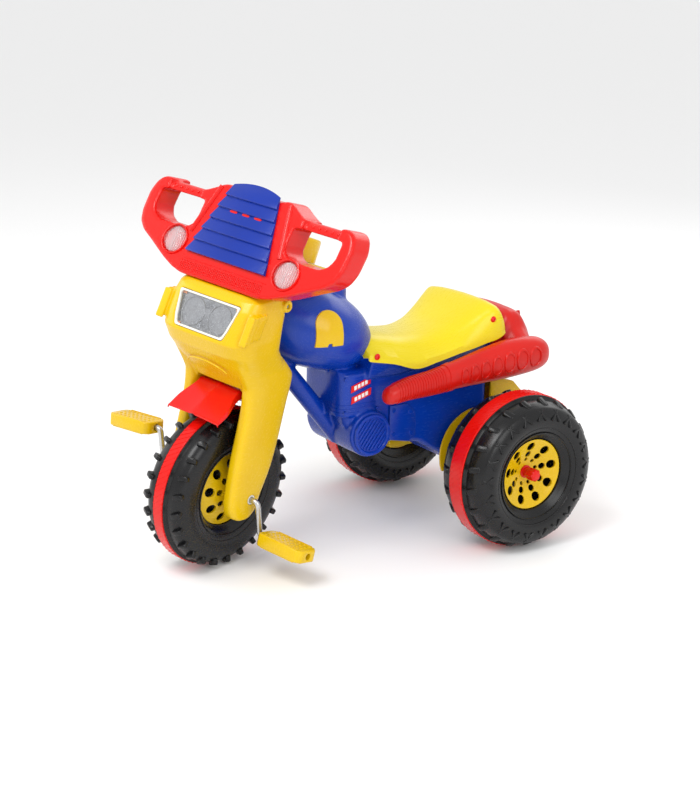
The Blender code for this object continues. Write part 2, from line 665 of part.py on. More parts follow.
def make_shield():
    """Louvred shield: six stepped slats that narrow upwards, under an arched top."""
    pitch = (SHIELD_TOP - SHIELD_FOOT) / 6
    arch = SHIELD_TOP + 0.008
    profile = [(SHIELD_FOOT, 0.0)]
    for i in range(6):
        base = SHIELD_FOOT + i * pitch
        profile += [(base, SHIELD_PROUD), (base + pitch, 0.0018)]
    profile[-1] = (arch, 0.0018)
    profile.append((arch, 0.0))
    bm = bmesh.new()
    sides = []
    for side in (1, -1):
        sides.append([bm.verts.new(bar_point(side * 0.09, up, -proud - GAP) - PIVOT) for up, proud in profile])
    bm.faces.new(sides[0])
    bm.faces.new(sides[1][::-1])
    for i in range(len(profile)):
        j = (i + 1) % len(profile)
        bm.faces.new((sides[0][i], sides[1][i], sides[1][j], sides[0][j]))
    shield = add_object("shield", as_mesh("shield", bm), BLUE, True, PIVOT)
    crown = [(0.045 - 0.015 * i, SHIELD_TOP + 0.0078 * (1 - (1 - i / 3) ** 2)) for i in range(7)]
    outline = [(-0.079, SHIELD_FOOT - 0.001), (0.079, SHIELD_FOOT - 0.001)] + crown
    boolean(shield, "INTERSECT", bar_slab("shield_outline", outline, -0.03, 0.06, None))


def make_steering_column():
    """Bolt through the fork's crown, the body's head and the flange, with its nut and cap."""
    bottom = axis_point(0.287)
    top = axis_point(FLANGE_BASE) + STEER_AXIS * (FLANGE_THICKNESS + 0.012)
    length = (top - bottom).length
    profile = [(0, length / 2), (STEER_BOLT_R, length / 2), (STEER_BOLT_R, -length / 2), (0.0095, -length / 2),
               (0.0095, -length / 2 - 0.004), (0, -length / 2 - 0.004)]
    turned("steering_bolt", profile, STEEL, 16, False, STEER_AXIS, (top + bottom) / 2, True)
    face = axis_point(FLANGE_BASE) + STEER_AXIS * (FLANGE_THICKNESS + GAP)
    nut = rod("steering_nut", 0.0092, 0.007, STEEL, 6, STEER_AXIS, face + STEER_AXIS * 0.0035, True)
    cut(nut, rod("nut_bore", STEER_BOLT_R + GAP, 0.02, None, 16, STEER_AXIS, face, True))
    wall = 0.0025
    profile = [(0, COLUMN_HEIGHT), (COLUMN_R * 0.8, COLUMN_HEIGHT), (COLUMN_R, COLUMN_HEIGHT - 0.005), (COLUMN_R, 0),
               (COLUMN_R - wall, 0), (COLUMN_R - wall, COLUMN_HEIGHT - wall), (0, COLUMN_HEIGHT - wall)]
    turned("column_cap", profile, YELLOW, 24, False, STEER_AXIS, face, True)


# ---------------------------------------------------------------- body
def make_tank(grow=0.0):
    """Egg-shaped tank, nose up, with its nose narrowed to fit between the fork's sides."""
    bm = bmesh.new()
    bmesh.ops.create_uvsphere(bm, u_segments=24, v_segments=14, radius=1.0)
    bmesh.ops.rotate(bm, verts=bm.verts, cent=(0, 0, 0), matrix=Matrix.Rotation(pi / 2, 3, "X"))
    for v in bm.verts:
        narrow = 1.0 - TANK_NOSE_TAPER * max(0.0, -v.co.y - 0.15)
        v.co = Vector((v.co.x * (TANK_HALF[0] + grow) * narrow, v.co.y * (TANK_HALF[1] + grow),
                       v.co.z * (TANK_HALF[2] + grow)))
    bmesh.ops.rotate(bm, verts=bm.verts, cent=(0, 0, 0), matrix=Matrix.Rotation(-TANK_PITCH, 3, "X"))
    bmesh.ops.translate(bm, verts=bm.verts, vec=TANK_CENTRE)
    return as_mesh("tank", bm)


def body_outline():
    """Side view of the middle body below the seat, as (y, z), anticlockwise from the top front."""
    drawn = [(-0.034, 0.288), (-0.034, 0.250), (-0.022, 0.200), (0.000, 0.160), (0.035, 0.156),
             (0.075, 0.161), (0.118, 0.151), (0.158, 0.127), (0.188, 0.106), (0.215, 0.098), (0.236, 0.098)]
    return [(aft(y), z) for y, z in drawn] + [(BODY_REAR_Y, 0.110), (BODY_REAR_Y, 0.288)]


def make_seat_base():
    """The part of the body that fills the seat, lofted inside the seat's own stations."""
    inset = SEAT_WALL + 0.002
    foot_z = body_outline()[0][1] - 0.016
    sections = []
    for y, crown, edge, edge_z, hem, hem_z in seat_stations()[1:-1]:
        y = min(y, BODY_REAR_Y - 0.0007)
        wide = min(hem - inset, BODY_HALF_WIDTH + 0.011)
        high = edge_z - inset
        right = [(BODY_HALF_WIDTH - 0.007, foot_z), (wide, hem_z), (min(edge + 0.004 - inset, wide), high - 0.006),
                 (edge - 0.004 - inset, high)]
        left = [(-a, b) for a, b in right[::-1]]
        sections.append([(a, y, b) for a, b in right + left])
    return loft("seat_base", sections, None)


def rounded(item, width):
    rounding = item.modifiers.new("rounding", "BEVEL")
    rounding.width = width
    rounding.segments = 2
    rounding.limit_method = "ANGLE"
    rounding.angle_limit = radians(60)
    return item


def make_body():
    body = slab("body_shell", body_outline()[::-1], BODY_HALF_WIDTH, BLUE)
    for v in body.data.vertices:
        v.co.x *= 1.0 - BODY_TAPER / BODY_HALF_WIDTH * (REAR_AXLE_Y - v.co.y)
    rounded(body, 0.012)
    base = make_seat_base()
    tank = add_object("tank_form", make_tank())
    block = box("engine_block", BLOCK_SIZE, BLOCK_CENTRE, None, 0.013)
    step = COVER_X - 0.006
    profile = [(0, COVER_X), (COVER_R, COVER_X), (COVER_R, step), (CASE_R, step),
               (CASE_R, -step), (COVER_R, -step), (COVER_R, -COVER_X), (0, -COVER_X)]
    case = turned("crankcase", profile, None, 24, False, at=(0, CASE_Y, CASE_Z))
    tube = tube_to_mesh("down_tube", [Vector((0, -0.136, 0.330)), Vector((0, -0.095, 0.281)),
                                      Vector((0, -0.041, 0.215)), Vector((0, 0.000, 0.165))], DOWN_TUBE_R)
    head = rod("head_tube", 0.028, 0.118, None, 20, STEER_AXIS, axis_point(0.3855))
    filler = rod("filler", 0.030, 0.040, None, 20, (0, 0, 1), (0, -0.026, 0.396))
    join(body, tube, case, block, base, tank, head, filler)
    bore = rod("head_bore", HEAD_BORE_R, 0.3, None, 16, STEER_AXIS, axis_point(0.385))
    axle_room = rod("body_axle_hole", REAR_AXLE_R + RUN + 0.0035, 0.3, None, 16, at=(0, REAR_AXLE_Y, WHEEL_RADIUS))
    cut(body, bore, axle_room)
    for z, word in ((0.333, "lower"), (0.437, "upper")):
        ring(f"head_bush_{word}", HEAD_BORE_R - GAP, STEER_BOLT_R + RUN, -0.008, 0.008, WHITE, 16, STEER_AXIS,
             axis_point(z))
    for side, word in ((1, "left"), (-1, "right")):
        low, high = sorted((side * (BODY_HALF_WIDTH - 0.02), side * (BODY_HALF_WIDTH + 0.002)))
        ring(f"rear_bush_{word}", REAR_AXLE_R + RUN + 0.0035 - GAP, REAR_AXLE_R + RUN, low, high, WHITE, 16,
             at=(0, REAR_AXLE_Y, WHEEL_RADIUS))
    return body


def tube_to_mesh(name, points, radius):
    """A bent tube as a plain mesh, so that it can be joined."""
    item = wire(name + "_curve", points, radius, None, False, 3)
    graph = bpy.context.evaluated_depsgraph_get()
    mesh = bpy.data.meshes.new_from_object(item.evaluated_get(graph))
    curve = item.data
    bpy.data.objects.remove(item)
    bpy.data.curves.remove(curve)
    bm = bmesh.new()
    bm.from_mesh(mesh)
    bpy.data.meshes.remove(mesh)
    return add_object(name, as_mesh(name, bm))


def make_tank_plates():
    """Arch-topped yellow plates on both sides of the tank: an arch cut from a thin skin over it."""
    for side, word in ((1, "left"), (-1, "right")):
        arch = [(-0.095, 0.342), (-0.053, 0.342), (-0.053, 0.374)] + arc((-0.074, 0.374), 0.021, 15, 165, 8)
        arch.append((-0.095, 0.374))
        plate = slab(f"tank_plate_{word}", arch, 0.02, YELLOW, "X", False, (side * 0.078, 0, 0))
        boolean(plate, "INTERSECT", add_object(f"plate_outer_{word}", make_tank(PLATE_WALL + GAP)))
        cut(plate, add_object(f"plate_inner_{word}", make_tank(GAP)))


# ---------------------------------------------------------------- seat, tail and rear axle
def seat_stations():
    """y, crown height, half width and height of the top edge, half width and height of the hem."""
    drawn = [(0.004, 0.322, 0.050, 0.318, 0.074, 0.306), (0.010, 0.343, 0.052, 0.335, 0.077, 0.304),
            (0.050, 0.337, 0.055, 0.328, 0.081, 0.296), (0.090, 0.330, 0.057, 0.320, 0.084, 0.284),
            (0.130, 0.329, 0.060, 0.318, 0.087, 0.291), (0.165, 0.336, 0.065, 0.326, 0.090, 0.299),
            (0.195, 0.351, 0.072, 0.342, 0.092, 0.305), (0.220, 0.367, 0.079, 0.359, 0.094, 0.311),
            (0.236, 0.374, 0.084, 0.367, 0.095, 0.314), (0.250, 0.368, 0.084, 0.360, 0.094, 0.318),
            (0.260, 0.345, 0.080, 0.338, 0.090, 0.322)]
    return [(aft(row[0]), *row[1:]) for row in drawn]


def make_seat():
    bm = bmesh.new()
    rows = []
    for y, crown, edge, edge_z, hem, hem_z in seat_stations():
        line = [(hem, hem_z), (hem - 0.002, hem_z + 0.3 * (edge_z - hem_z)), (edge + 0.006, edge_z - 0.006),
                (edge, edge_z), (edge * 0.5, crown - 0.001), (0.0, crown)]
        line = [(-a, b) for a, b in line] + line[::-1][1:]
        rows.append([bm.verts.new((a, y, b)) for a, b in line])
    for first, second in zip(rows, rows[1:]):
        for a, b, c, d in zip(first, first[1:], second[1:], second):
            bm.faces.new((a, d, c, b))
    bmesh.ops.recalc_face_normals(bm, faces=bm.faces)
    if max(bm.faces, key=lambda f: f.calc_center_median().z).normal.z < 0:
        bmesh.ops.reverse_faces(bm, faces=bm.faces)
    mesh = bpy.data.meshes.new("seat")
    bm.to_mesh(mesh)
    bm.free()
    mesh.shade_smooth()
    seat = add_object("seat", mesh, YELLOW)
    wall = seat.modifiers.new("wall", "SOLIDIFY")
    wall.thickness = SEAT_WALL
    wall.offset = -1.0
    cut(seat, add_object("tank_room", make_tank(0.0008)))
    return seat


def make_rivets(seat, body):
    """Four push rivets through the seat's skirt into the body."""
    for side, side_word in ((1, "left"), (-1, "right")):
        for y, z, edge, shank, word in ((0.0175, 0.3115, 0.0765, 0.018, "front"),
                                        (0.232, 0.348, 0.0915, 0.034, "rear")):
            y = aft(y)
            face = side * edge
            cut(seat, rod(f"rivet_hole_{word}_{side_word}", RIVET_R + GAP, 0.03, None, 12, at=(face, y, z)))
            cut(body, rod(f"rivet_socket_{word}_{side_word}", RIVET_R + GAP, 2 * shank + 0.002, None, 12,
                          at=(face, y, z)))
            profile = [(0, 0.0032), (0.003, 0.0026), (0.005, 0.0004), (RIVET_R, 0.0004), (RIVET_R, -shank), (0, -shank)]
            turned(f"seat_rivet_{word}_{side_word}", profile, RED, 12, False, (side, 0, 0), (face, y, z))


def tail_arm(side):
    """A side tube of the tail, from its blunt tip back to the end."""
    stations = [(0.015, 0.2525, 0.100, 0.004, 0.004), (0.018, 0.253, 0.100, 0.0095, 0.010),
                (0.027, 0.255, 0.101, 0.0135, 0.0145), (0.060, 0.261, 0.102, 0.016, 0.017),
                (0.105, 0.265, 0.104, 0.0175, 0.019), (0.155, 0.273, 0.106, 0.019, 0.023),
                (0.240, 0.284, 0.109, 0.022, 0.031), (0.297, 0.287, 0.110, 0.022, 0.029),
                (0.322, 0.286, 0.108, 0.018, 0.022), (0.333, 0.284, 0.105, 0.010, 0.012)]
    sections = []
    for y, z, x, half_x, half_z in stations:
        sections.append([(side * (x + a), aft(y), z + b) for a, b in squircle(half_x, half_z, 16, 2.2)])
    return sections


def make_tail():
    tail = loft("tail_cowl", tail_arm(1), RED)
    other = loft("tail_arm", tail_arm(-1), None)
    half_widths = [(0.094, 0.313), (0.080, 0.325), (0.064, 0.347), (0.0, 0.353), (-0.064, 0.347), (-0.080, 0.325),
                   (-0.094, 0.313)]
    sections = []
    for x, high in half_widths:
        front = BODY_REAR_Y + 0.001 if abs(x) < 0.07 else aft(0.266)
        sections.append([(x, front, 0.262), (x, aft(0.320), 0.262), (x, aft(0.329), 0.288),
                         (x, aft(0.315), high - 0.012), (x, aft(0.301), high), (x, aft(0.287), high),
                         (x, aft(0.268), high - 0.018), (x, front, 0.300)])
    cross = loft("tail_cross", sections, None)
    join(tail, other, cross)
    return tail


def make_carrier():
    """Yellow axle carrier: two round side discs joined by a slotted deck behind the body."""
    hole = REAR_AXLE_R + RUN + GAP
    inner = BODY_HALF_WIDTH + 0.0024      # the bushes end 2 mm outside the body
    carrier = rod("axle_carrier", CARRIER_R, CARRIER_WALL, YELLOW, 32,
                  at=(inner + CARRIER_WALL / 2, REAR_AXLE_Y, WHEEL_RADIUS))
    twin = rod("carrier_twin", CARRIER_R, CARRIER_WALL, None, 32,
               at=(-inner - CARRIER_WALL / 2, REAR_AXLE_Y, WHEEL_RADIUS))
    top = [(0.2490, 0.241), (0.266, 0.2415), (0.296, 0.232), (0.315, 0.212), (0.310, 0.165), (0.293, 0.150)]
    under = [(0.288, 0.155), (0.305, 0.168), (0.310, 0.210), (0.293, 0.2275), (0.266, 0.2365), (0.2490, 0.236)]
    top, under = ([(aft(y), z) for y, z in row] for row in (top, under))
    foot = (BODY_REAR_Y + 0.0025, 0.150)
    deck = slab("carrier_deck", top + [foot, (foot[0], 0.155)] + under, inner + CARRIER_WALL, None)
    ears = slab("carrier_ear", top + [foot], CARRIER_WALL / 2, None, at=(inner + CARRIER_WALL / 2, 0, 0))
    ear_twin = slab("carrier_ear_twin", top + [foot], CARRIER_WALL / 2, None,
                    at=(-inner - CARRIER_WALL / 2, 0, 0))
    join(carrier, twin, deck, ears, ear_twin)
    cut(carrier, rod("carrier_hole", hole, 0.4, None, 16, at=(0, REAR_AXLE_Y, WHEEL_RADIUS)))
    cut(carrier, box("carrier_foot", (0.4, 0.3, 0.1), (0, REAR_AXLE_Y, CARRIER_FOOT - 0.05), None))
    for i in range(5):
        x = -0.050 + i * 0.025
        cut(carrier, box(f"deck_slot_{i}", (0.013, 0.10, 0.030), (x, aft(0.312), 0.2285), None))
    rod("rear_axle", REAR_AXLE_R, 2 * REAR_AXLE_END, STEEL, 16, at=(0, REAR_AXLE_Y, WHEEL_RADIUS))
    for side, word in ((1, "left"), (-1, "right")):
        low, high = sorted((side * (inner + CARRIER_WALL + GAP), side * (WASHER_FACE - WASHER_WALL - GAP)))
        ring(f"axle_spacer_{word}", 0.0095, REAR_AXLE_R + RUN, low, high, BLACK, 16, at=(0, REAR_AXLE_Y, WHEEL_RADIUS))


make_front_wheel()
make_crank()
make_pedal("left", 1, PEDAL_TILT_LEFT)
make_pedal("right", -1, PEDAL_TILT_RIGHT)
make_fork()
make_lamp()
make_fender()
make_handlebar()
make_shield()
make_steering_column()
body_shell = make_body()
make_tank_plates()
seat_shell = make_seat()
make_rivets(seat_shell, body_shell)
make_tail()
make_carrier()
make_rear_wheel(1, "left")
make_rear_wheel(-1, "right")
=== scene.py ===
# %% [markdown]
# # A child's plastic tricycle, dressed as a toy motorbike
# The imported model gives every piece's place and size. This lesson gives the pieces their
# moulded shapes, their small details and their plastics, and lights them on a pale floor.
# The first cell loads the model.

# %% Load the frame
import json
from math import atan2, cos, pi, radians, sin, sqrt, tan

import bmesh
import bpy
from mathutils import Matrix, Quaternion, Vector


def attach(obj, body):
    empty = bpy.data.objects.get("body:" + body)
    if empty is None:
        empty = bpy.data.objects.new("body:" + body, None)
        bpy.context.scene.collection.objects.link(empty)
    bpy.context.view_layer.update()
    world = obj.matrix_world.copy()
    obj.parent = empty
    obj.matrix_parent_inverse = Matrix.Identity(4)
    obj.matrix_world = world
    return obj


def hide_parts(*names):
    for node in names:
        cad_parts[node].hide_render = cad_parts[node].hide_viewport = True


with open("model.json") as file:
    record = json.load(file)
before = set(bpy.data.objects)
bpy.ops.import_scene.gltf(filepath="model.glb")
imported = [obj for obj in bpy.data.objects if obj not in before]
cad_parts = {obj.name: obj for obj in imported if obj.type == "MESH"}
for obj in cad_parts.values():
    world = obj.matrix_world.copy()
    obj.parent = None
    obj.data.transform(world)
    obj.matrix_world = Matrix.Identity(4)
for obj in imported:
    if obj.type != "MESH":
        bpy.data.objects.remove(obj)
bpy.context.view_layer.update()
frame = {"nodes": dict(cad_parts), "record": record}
joints = {joint["name"]: joint for joint in frame["record"]["behaviour"]["joints"]}

# %% [markdown]
# ## Where things are
# The front of the tricycle is stored turned 17.3 degrees about its leaning steering axis.
# It is far easier to model it with the wheel straight ahead and to turn the finished mesh,
# so `FRONT` is that turn. Pieces of the body use the identity matrix instead.

# %% Driving sizes, in metres
PIVOT = Vector(joints["steer"]["pos_m"])
STEER_AXIS = Vector(joints["steer"]["axis"]).normalized()
REAR_Y, WHEEL_R = 0.223, 0.125
RAKE = atan2(STEER_AXIS.y, STEER_AXIS.z)
TURN = Quaternion(STEER_AXIS, radians(17.3)).to_matrix().to_4x4()
FRONT = Matrix.Translation(PIVOT) @ TURN @ Matrix.Translation(-PIVOT)
STAY = Matrix.Identity(4)
BAR_LEAN, BAR_DROP = radians(31.0), radians(15.0)
BAR_ORIGIN = Vector((0.0, -0.2273, 0.487))
TANK_PITCH = radians(24.0)
print("steering axis leans", round(RAKE * 57.3, 1), "degrees; pivot at", PIVOT)

# %% [markdown]
# ## Materials
# The toy is made of two plastics. Polypropylene, injection moulded in polished steel tools,
# gives the glossy yellow and red pieces: even colour, a slight orange-peel waviness and
# fine scratches that dull the gloss in streaks. Polyethylene, blown as a hollow bubble,
# gives the tyres, the body and the red tail: a softer shine and a wavier skin. The steel
# parts are zinc plated. One function turns sRGB hex to linear, and one adds a node.

# %% Node helpers
def linear(code):
    """sRGB hex to a linear RGBA tuple."""
    channels = [int(code[i:i + 2], 16) / 255 for i in (1, 3, 5)]
    return tuple(c / 12.92 if c <= 0.04045 else ((c + 0.055) / 1.055) ** 2.4 for c in channels) + (1.0,)


def add(tree, kind, links=None, inputs=None, **settings):
    """Add a node, set its properties and inputs, and link sockets {input: (node, output)}."""
    item = tree.nodes.new(kind)
    for key, value in settings.items():
        setattr(item, key, value)
    for key, value in (inputs or {}).items():
        item.inputs[key].default_value = value
    for key, (source, output) in (links or {}).items():
        tree.links.new(source.outputs[output], item.inputs[key])
    return item


def blank(name):
    """A new material with only a Principled BSDF wired to its output."""
    material = bpy.data.materials.new(name)
    material.use_nodes = True
    tree = material.node_tree
    return material, tree, tree.nodes["Principled BSDF"]

# %% [markdown]
# ### Moulded plastic
# Colour varies by a few percent where pigment streaked in the mould. The waviness is
# about 6 mm long on injected pieces and 14 mm on blown ones. Fine scratches from use are
# long thin noise streaks, drawn a little coarser than real ones so that they can be seen.

# %% Plastic materials
def moulded(name, light, dark, rough, wave_mm, wave_depth, scratch=0.06, coat=0.0):
    material, tree, shader = blank(name)
    place = add(tree, "ShaderNodeTexCoord")
    streak = add(tree, "ShaderNodeTexNoise", {"Vector": (place, "Object")},
                 {"Scale": 9.0, "Detail": 3.0, "Roughness": 0.55})
    mix = add(tree, "ShaderNodeMix", {"Factor": (streak, "Fac")}, data_type="RGBA")
    mix.inputs["A"].default_value = linear(dark)
    mix.inputs["B"].default_value = linear(light)
    tree.links.new(mix.outputs["Result"], shader.inputs["Base Color"])
    stretch = add(tree, "ShaderNodeMapping", {"Vector": (place, "Object")})
    stretch.inputs["Scale"].default_value = (1.0, 0.06, 0.3)
    stretch.inputs["Rotation"].default_value = (0.3, 0.5, 0.9)
    wear = add(tree, "ShaderNodeTexNoise", {"Vector": (stretch, "Vector")},
               {"Scale": 900.0, "Detail": 4.0, "Roughness": 0.7})
    dull = add(tree, "ShaderNodeMapRange", {"Value": (wear, "Fac")},
               {"From Min": 0.35, "From Max": 0.75, "To Min": rough, "To Max": rough + scratch})
    tree.links.new(dull.outputs["Result"], shader.inputs["Roughness"])
    wave = add(tree, "ShaderNodeTexNoise", {"Vector": (place, "Object")},
               {"Scale": 1000.0 / wave_mm, "Detail": 1.5, "Roughness": 0.4})
    bump = add(tree, "ShaderNodeBump", {"Height": (wave, "Fac")},
               {"Strength": 0.18, "Distance": wave_depth})
    tree.links.new(bump.outputs["Normal"], shader.inputs["Normal"])
    shader.inputs["IOR"].default_value = 1.49
    shader.inputs["Specular IOR Level"].default_value = 0.36
    shader.inputs["Coat Weight"].default_value = coat
    shader.inputs["Coat Roughness"].default_value = 0.08
    return material


YELLOW = moulded("injected polypropylene yellow", "#DDB90A", "#D2A804", 0.24, 6.0, 0.0006)
LEMON = moulded("injected polypropylene lemon", "#DDCB14", "#D2BC08", 0.26, 7.0, 0.0006)
RED = moulded("injected polypropylene red", "#DC1006", "#C80A04", 0.22, 6.0, 0.0006)
TAIL_RED = moulded("blown polyethylene red", "#CC1407", "#B40E05", 0.30, 14.0, 0.0014)
BLUE = moulded("blown polyethylene blue", "#033CB0", "#022C8A", 0.24, 14.0, 0.0014, 0.06)
SHIELD_BLUE = moulded("injected polypropylene blue", "#04309C", "#03247C", 0.20, 6.0, 0.0005)
BLACK = moulded("blown polyethylene black", "#111113", "#0A0A0B", 0.24, 14.0, 0.0012, 0.12)
NYLON = moulded("natural nylon", "#E6E4DA", "#D8D5C8", 0.42, 6.0, 0.0004)
WHITE_DECAL = moulded("printed vinyl white", "#F2F2EE", "#E8E8E2", 0.30, 20.0, 0.0002)
RED_DECAL = moulded("printed vinyl red", "#E3180F", "#D5140C", 0.28, 20.0, 0.0002)
AMBER = moulded("printed vinyl amber", "#F08A14", "#E67A0C", 0.30, 20.0, 0.0002)
print("plastics:", len(bpy.data.materials))

# %% [markdown]
# ### Zinc-plated steel, metallised film and clear polystyrene
# Bright zinc is a silvery metal with a faint cloudy pattern a few millimetres across. The
# lamp's reflector is a vacuum-metallised plate. It is drawn greyer and duller than a real
# mirror, because in a pale studio a true mirror would show only white. The clear covers
# are thin polystyrene, so they are mostly see-through and keep only their gloss.

# %% Metal and clear materials
def plated(name, light, dark, rough):
    material, tree, shader = blank(name)
    place = add(tree, "ShaderNodeTexCoord")
    cloud = add(tree, "ShaderNodeTexNoise", {"Vector": (place, "Object")}, {"Scale": 220.0, "Detail": 5.0})
    mix = add(tree, "ShaderNodeMix", {"Factor": (cloud, "Fac")}, data_type="RGBA")
    mix.inputs["A"].default_value = linear(dark)
    mix.inputs["B"].default_value = linear(light)
    tree.links.new(mix.outputs["Result"], shader.inputs["Base Color"])
    dull = add(tree, "ShaderNodeMapRange", {"Value": (cloud, "Fac")},
               {"To Min": rough, "To Max": rough + 0.2})
    tree.links.new(dull.outputs["Result"], shader.inputs["Roughness"])
    bump = add(tree, "ShaderNodeBump", {"Height": (cloud, "Fac")}, {"Strength": 0.15, "Distance": 0.0003})
    tree.links.new(bump.outputs["Normal"], shader.inputs["Normal"])
    shader.inputs["Metallic"].default_value = 1.0
    return material


def clear(name, tint, alpha):
    """Clear polystyrene: refraction would black out a thin shell, so it is mostly see-through."""
    material, tree, shader = blank(name)
    place = add(tree, "ShaderNodeTexCoord")
    flow = add(tree, "ShaderNodeTexNoise", {"Vector": (place, "Object")}, {"Scale": 160.0, "Detail": 2.0})
    bump = add(tree, "ShaderNodeBump", {"Height": (flow, "Fac")}, {"Strength": 0.1, "Distance": 0.0004})
    tree.links.new(bump.outputs["Normal"], shader.inputs["Normal"])
    shader.inputs["Base Color"].default_value = linear(tint)
    shader.inputs["Roughness"].default_value = 0.06
    shader.inputs["IOR"].default_value = 1.59
    shader.inputs["Alpha"].default_value = alpha
    return material


ZINC = plated("bright zinc plate", "#D6D6D4", "#A5A6A8", 0.22)
CHROME = plated("vacuum metallised film", "#AEB0B5", "#66686D", 0.14)
CLEAR = clear("clear polystyrene", "#F4F6F8", 0.07)
RIBBED = clear("clear polystyrene with ribs", "#F4F6F8", 0.30)
print("materials:", len(bpy.data.materials))

# %% [markdown]
# ## Mesh helpers
# Real moulded pieces have no knife edges. Turned and lofted shapes are built as closed
# shells, joined or cut with booleans, and then either bevelled or fused: a voxel remesh
# followed by smoothing melts the joints together, as blow moulding does.

# %% Shapes
def shape(name, verts, faces, place=STAY):
    """A loose mesh object; its faces are made to point out."""
    bm = bmesh.new()
    made = [bm.verts.new(place @ Vector(v)) for v in verts]
    for face in faces:
        bm.faces.new([made[i] for i in face])
    bmesh.ops.remove_doubles(bm, verts=bm.verts, dist=0.00001)
    bmesh.ops.dissolve_degenerate(bm, edges=bm.edges, dist=0.000005)
    bmesh.ops.recalc_face_normals(bm, faces=bm.faces)
    mesh = bpy.data.meshes.new(name)
    bm.to_mesh(mesh)
    bm.free()
    item = bpy.data.objects.new(name, mesh)
    bpy.context.scene.collection.objects.link(item)
    return item


def skin(name, sections, place=STAY, capped=True, closed=True):
    """Join rings of equal length into a skin."""
    count = len(sections[0])
    verts = [p for section in sections for p in section]
    faces = []
    for row in range(len(sections) - 1):
        for i in range(count if closed else count - 1):
            j = (i + 1) % count
            faces.append((row * count + i, row * count + j, (row + 1) * count + j, (row + 1) * count + i))
    if capped:
        faces += [tuple(range(count)), tuple(range(len(verts) - count, len(verts)))]
    return shape(name, verts, faces, place)


def turned(name, profile, steps, place=STAY, axis=(1, 0, 0), at=(0, 0, 0)):
    """Turn a closed (radius, height) outline about an axis through `at`."""
    aim = Matrix.Translation(Vector(at)) @ Vector((0, 0,
                                                   1)).rotation_difference(Vector(axis)).to_matrix().to_4x4()
    verts, faces, count = [], [], len(profile)
    for step in range(steps):
        angle = 2 * pi * step / steps
        verts += [aim @ Vector((r * cos(angle), r * sin(angle), h)) for r, h in profile]
    for step in range(steps):
        here, after = step * count, (step + 1) % steps * count
        for i in range(count):
            j = (i + 1) % count
            faces.append((here + i, here + j, after + j, after + i))
    return shape(name, verts, faces, place)


def rod(name, radius, low, high, steps=32, place=STAY, axis=(1, 0, 0), at=(0, 0, 0), ease=0.0):
    """A round bar from low to high along its axis, with eased ends."""
    profile = [(0.00001, low), (radius - ease, low), (radius, low + ease), (radius, high - ease),
               (radius - ease, high), (0.00001, high)]
    return turned(name, profile, steps, place, axis, at)


def prism(name, outline, low, high, place=STAY):
    """Extrude an (x, y) outline from low to high along z, then place it."""
    return skin(name, [[(a, b, low) for a, b in outline], [(a, b, high) for a, b in outline]], place)


def block(name, size, centre, place=STAY, tilt=0.0):
    a, b, c = (s / 2 for s in size)
    at = place @ Matrix.Translation(Vector(centre)) @ Matrix.Rotation(tilt, 4, "X")
    return prism(name, [(-a, -b), (a, -b), (a, b), (-a, b)], -c, c, at)


def rounded_rect(half_a, half_b, count, power=3.0):
    points = []
    for i in range(count):
        t = 2 * pi * (i + 0.5) / count
        a = half_a * abs(cos(t)) ** (2 / power) * (1 if cos(t) > 0 else -1)
        b = half_b * abs(sin(t)) ** (2 / power) * (1 if sin(t) > 0 else -1)
        points.append((a, b))
    return points


def eased(stations, steps):
    """Catmull-Rom values between rows of numbers, `steps` to each span."""
    rows = []
    for i in range(len(stations) - 1):
        a = stations[max(i - 1, 0)]
        b, c = stations[i], stations[i + 1]
        d = stations[min(i + 2, len(stations) - 1)]
        for k in range(steps):
            t = k / steps
            rows.append([0.5 * (2 * q + (r - p) * t + (2 * p - 5 * q + 4 * r - s) * t * t
                                + (3 * q - p - 3 * r + s) * t ** 3) for p, q, r, s in zip(a, b, c, d)])
    rows.append(list(stations[-1]))
    return rows

# %% Joining, cutting and finishing
def evaluated(item):
    """Replace an object's mesh by what its modifiers make of it."""
    graph = bpy.context.evaluated_depsgraph_get()
    graph.update()
    made = bpy.data.meshes.new_from_object(item.evaluated_get(graph))
    item.modifiers.clear()
    item.data = made
    return item


def boolean(target, operation, *others):
    for other in others:
        modifier = target.modifiers.new("boolean", "BOOLEAN")
        modifier.operation = operation
        modifier.object = other
    evaluated(target)
    for other in others:
        bpy.data.objects.remove(other, do_unlink=True)
    return target


def merged(name, parts):
    """Several objects' meshes as one object, without a boolean."""
    bm = bmesh.new()
    for part in parts:
        bm.from_mesh(part.data)
        bpy.data.objects.remove(part, do_unlink=True)
    mesh = bpy.data.meshes.new(name)
    bm.to_mesh(mesh)
    bm.free()
    item = bpy.data.objects.new(name, mesh)
    bpy.context.scene.collection.objects.link(item)
    return item


def fused(name, parts, voxel, smooth, cutters=()):
    """Melt closed shells into one skin of small faces, cut it, and soften its edges."""
    item = merged(name, parts)
    remesh = item.modifiers.new("remesh", "REMESH")
    remesh.mode = "VOXEL"
    remesh.voxel_size = voxel
    evaluated(item)
    if cutters:
        boolean(item, "DIFFERENCE", *cutters)
        remesh = item.modifiers.new("remesh", "REMESH")
        remesh.mode = "VOXEL"
        remesh.voxel_size = voxel
        evaluated(item)
    soften = item.modifiers.new("soften", "SMOOTH")
    soften.factor = 0.5
    soften.iterations = smooth
    return evaluated(item)


def bevelled(item, width, angle=30, segments=2):
    rounding = item.modifiers.new("rounding", "BEVEL")
    rounding.width = width
    rounding.segments = segments
    rounding.limit_method = "ANGLE"
    rounding.angle_limit = radians(angle)
    rounding.use_clamp_overlap = True
    return evaluated(item)


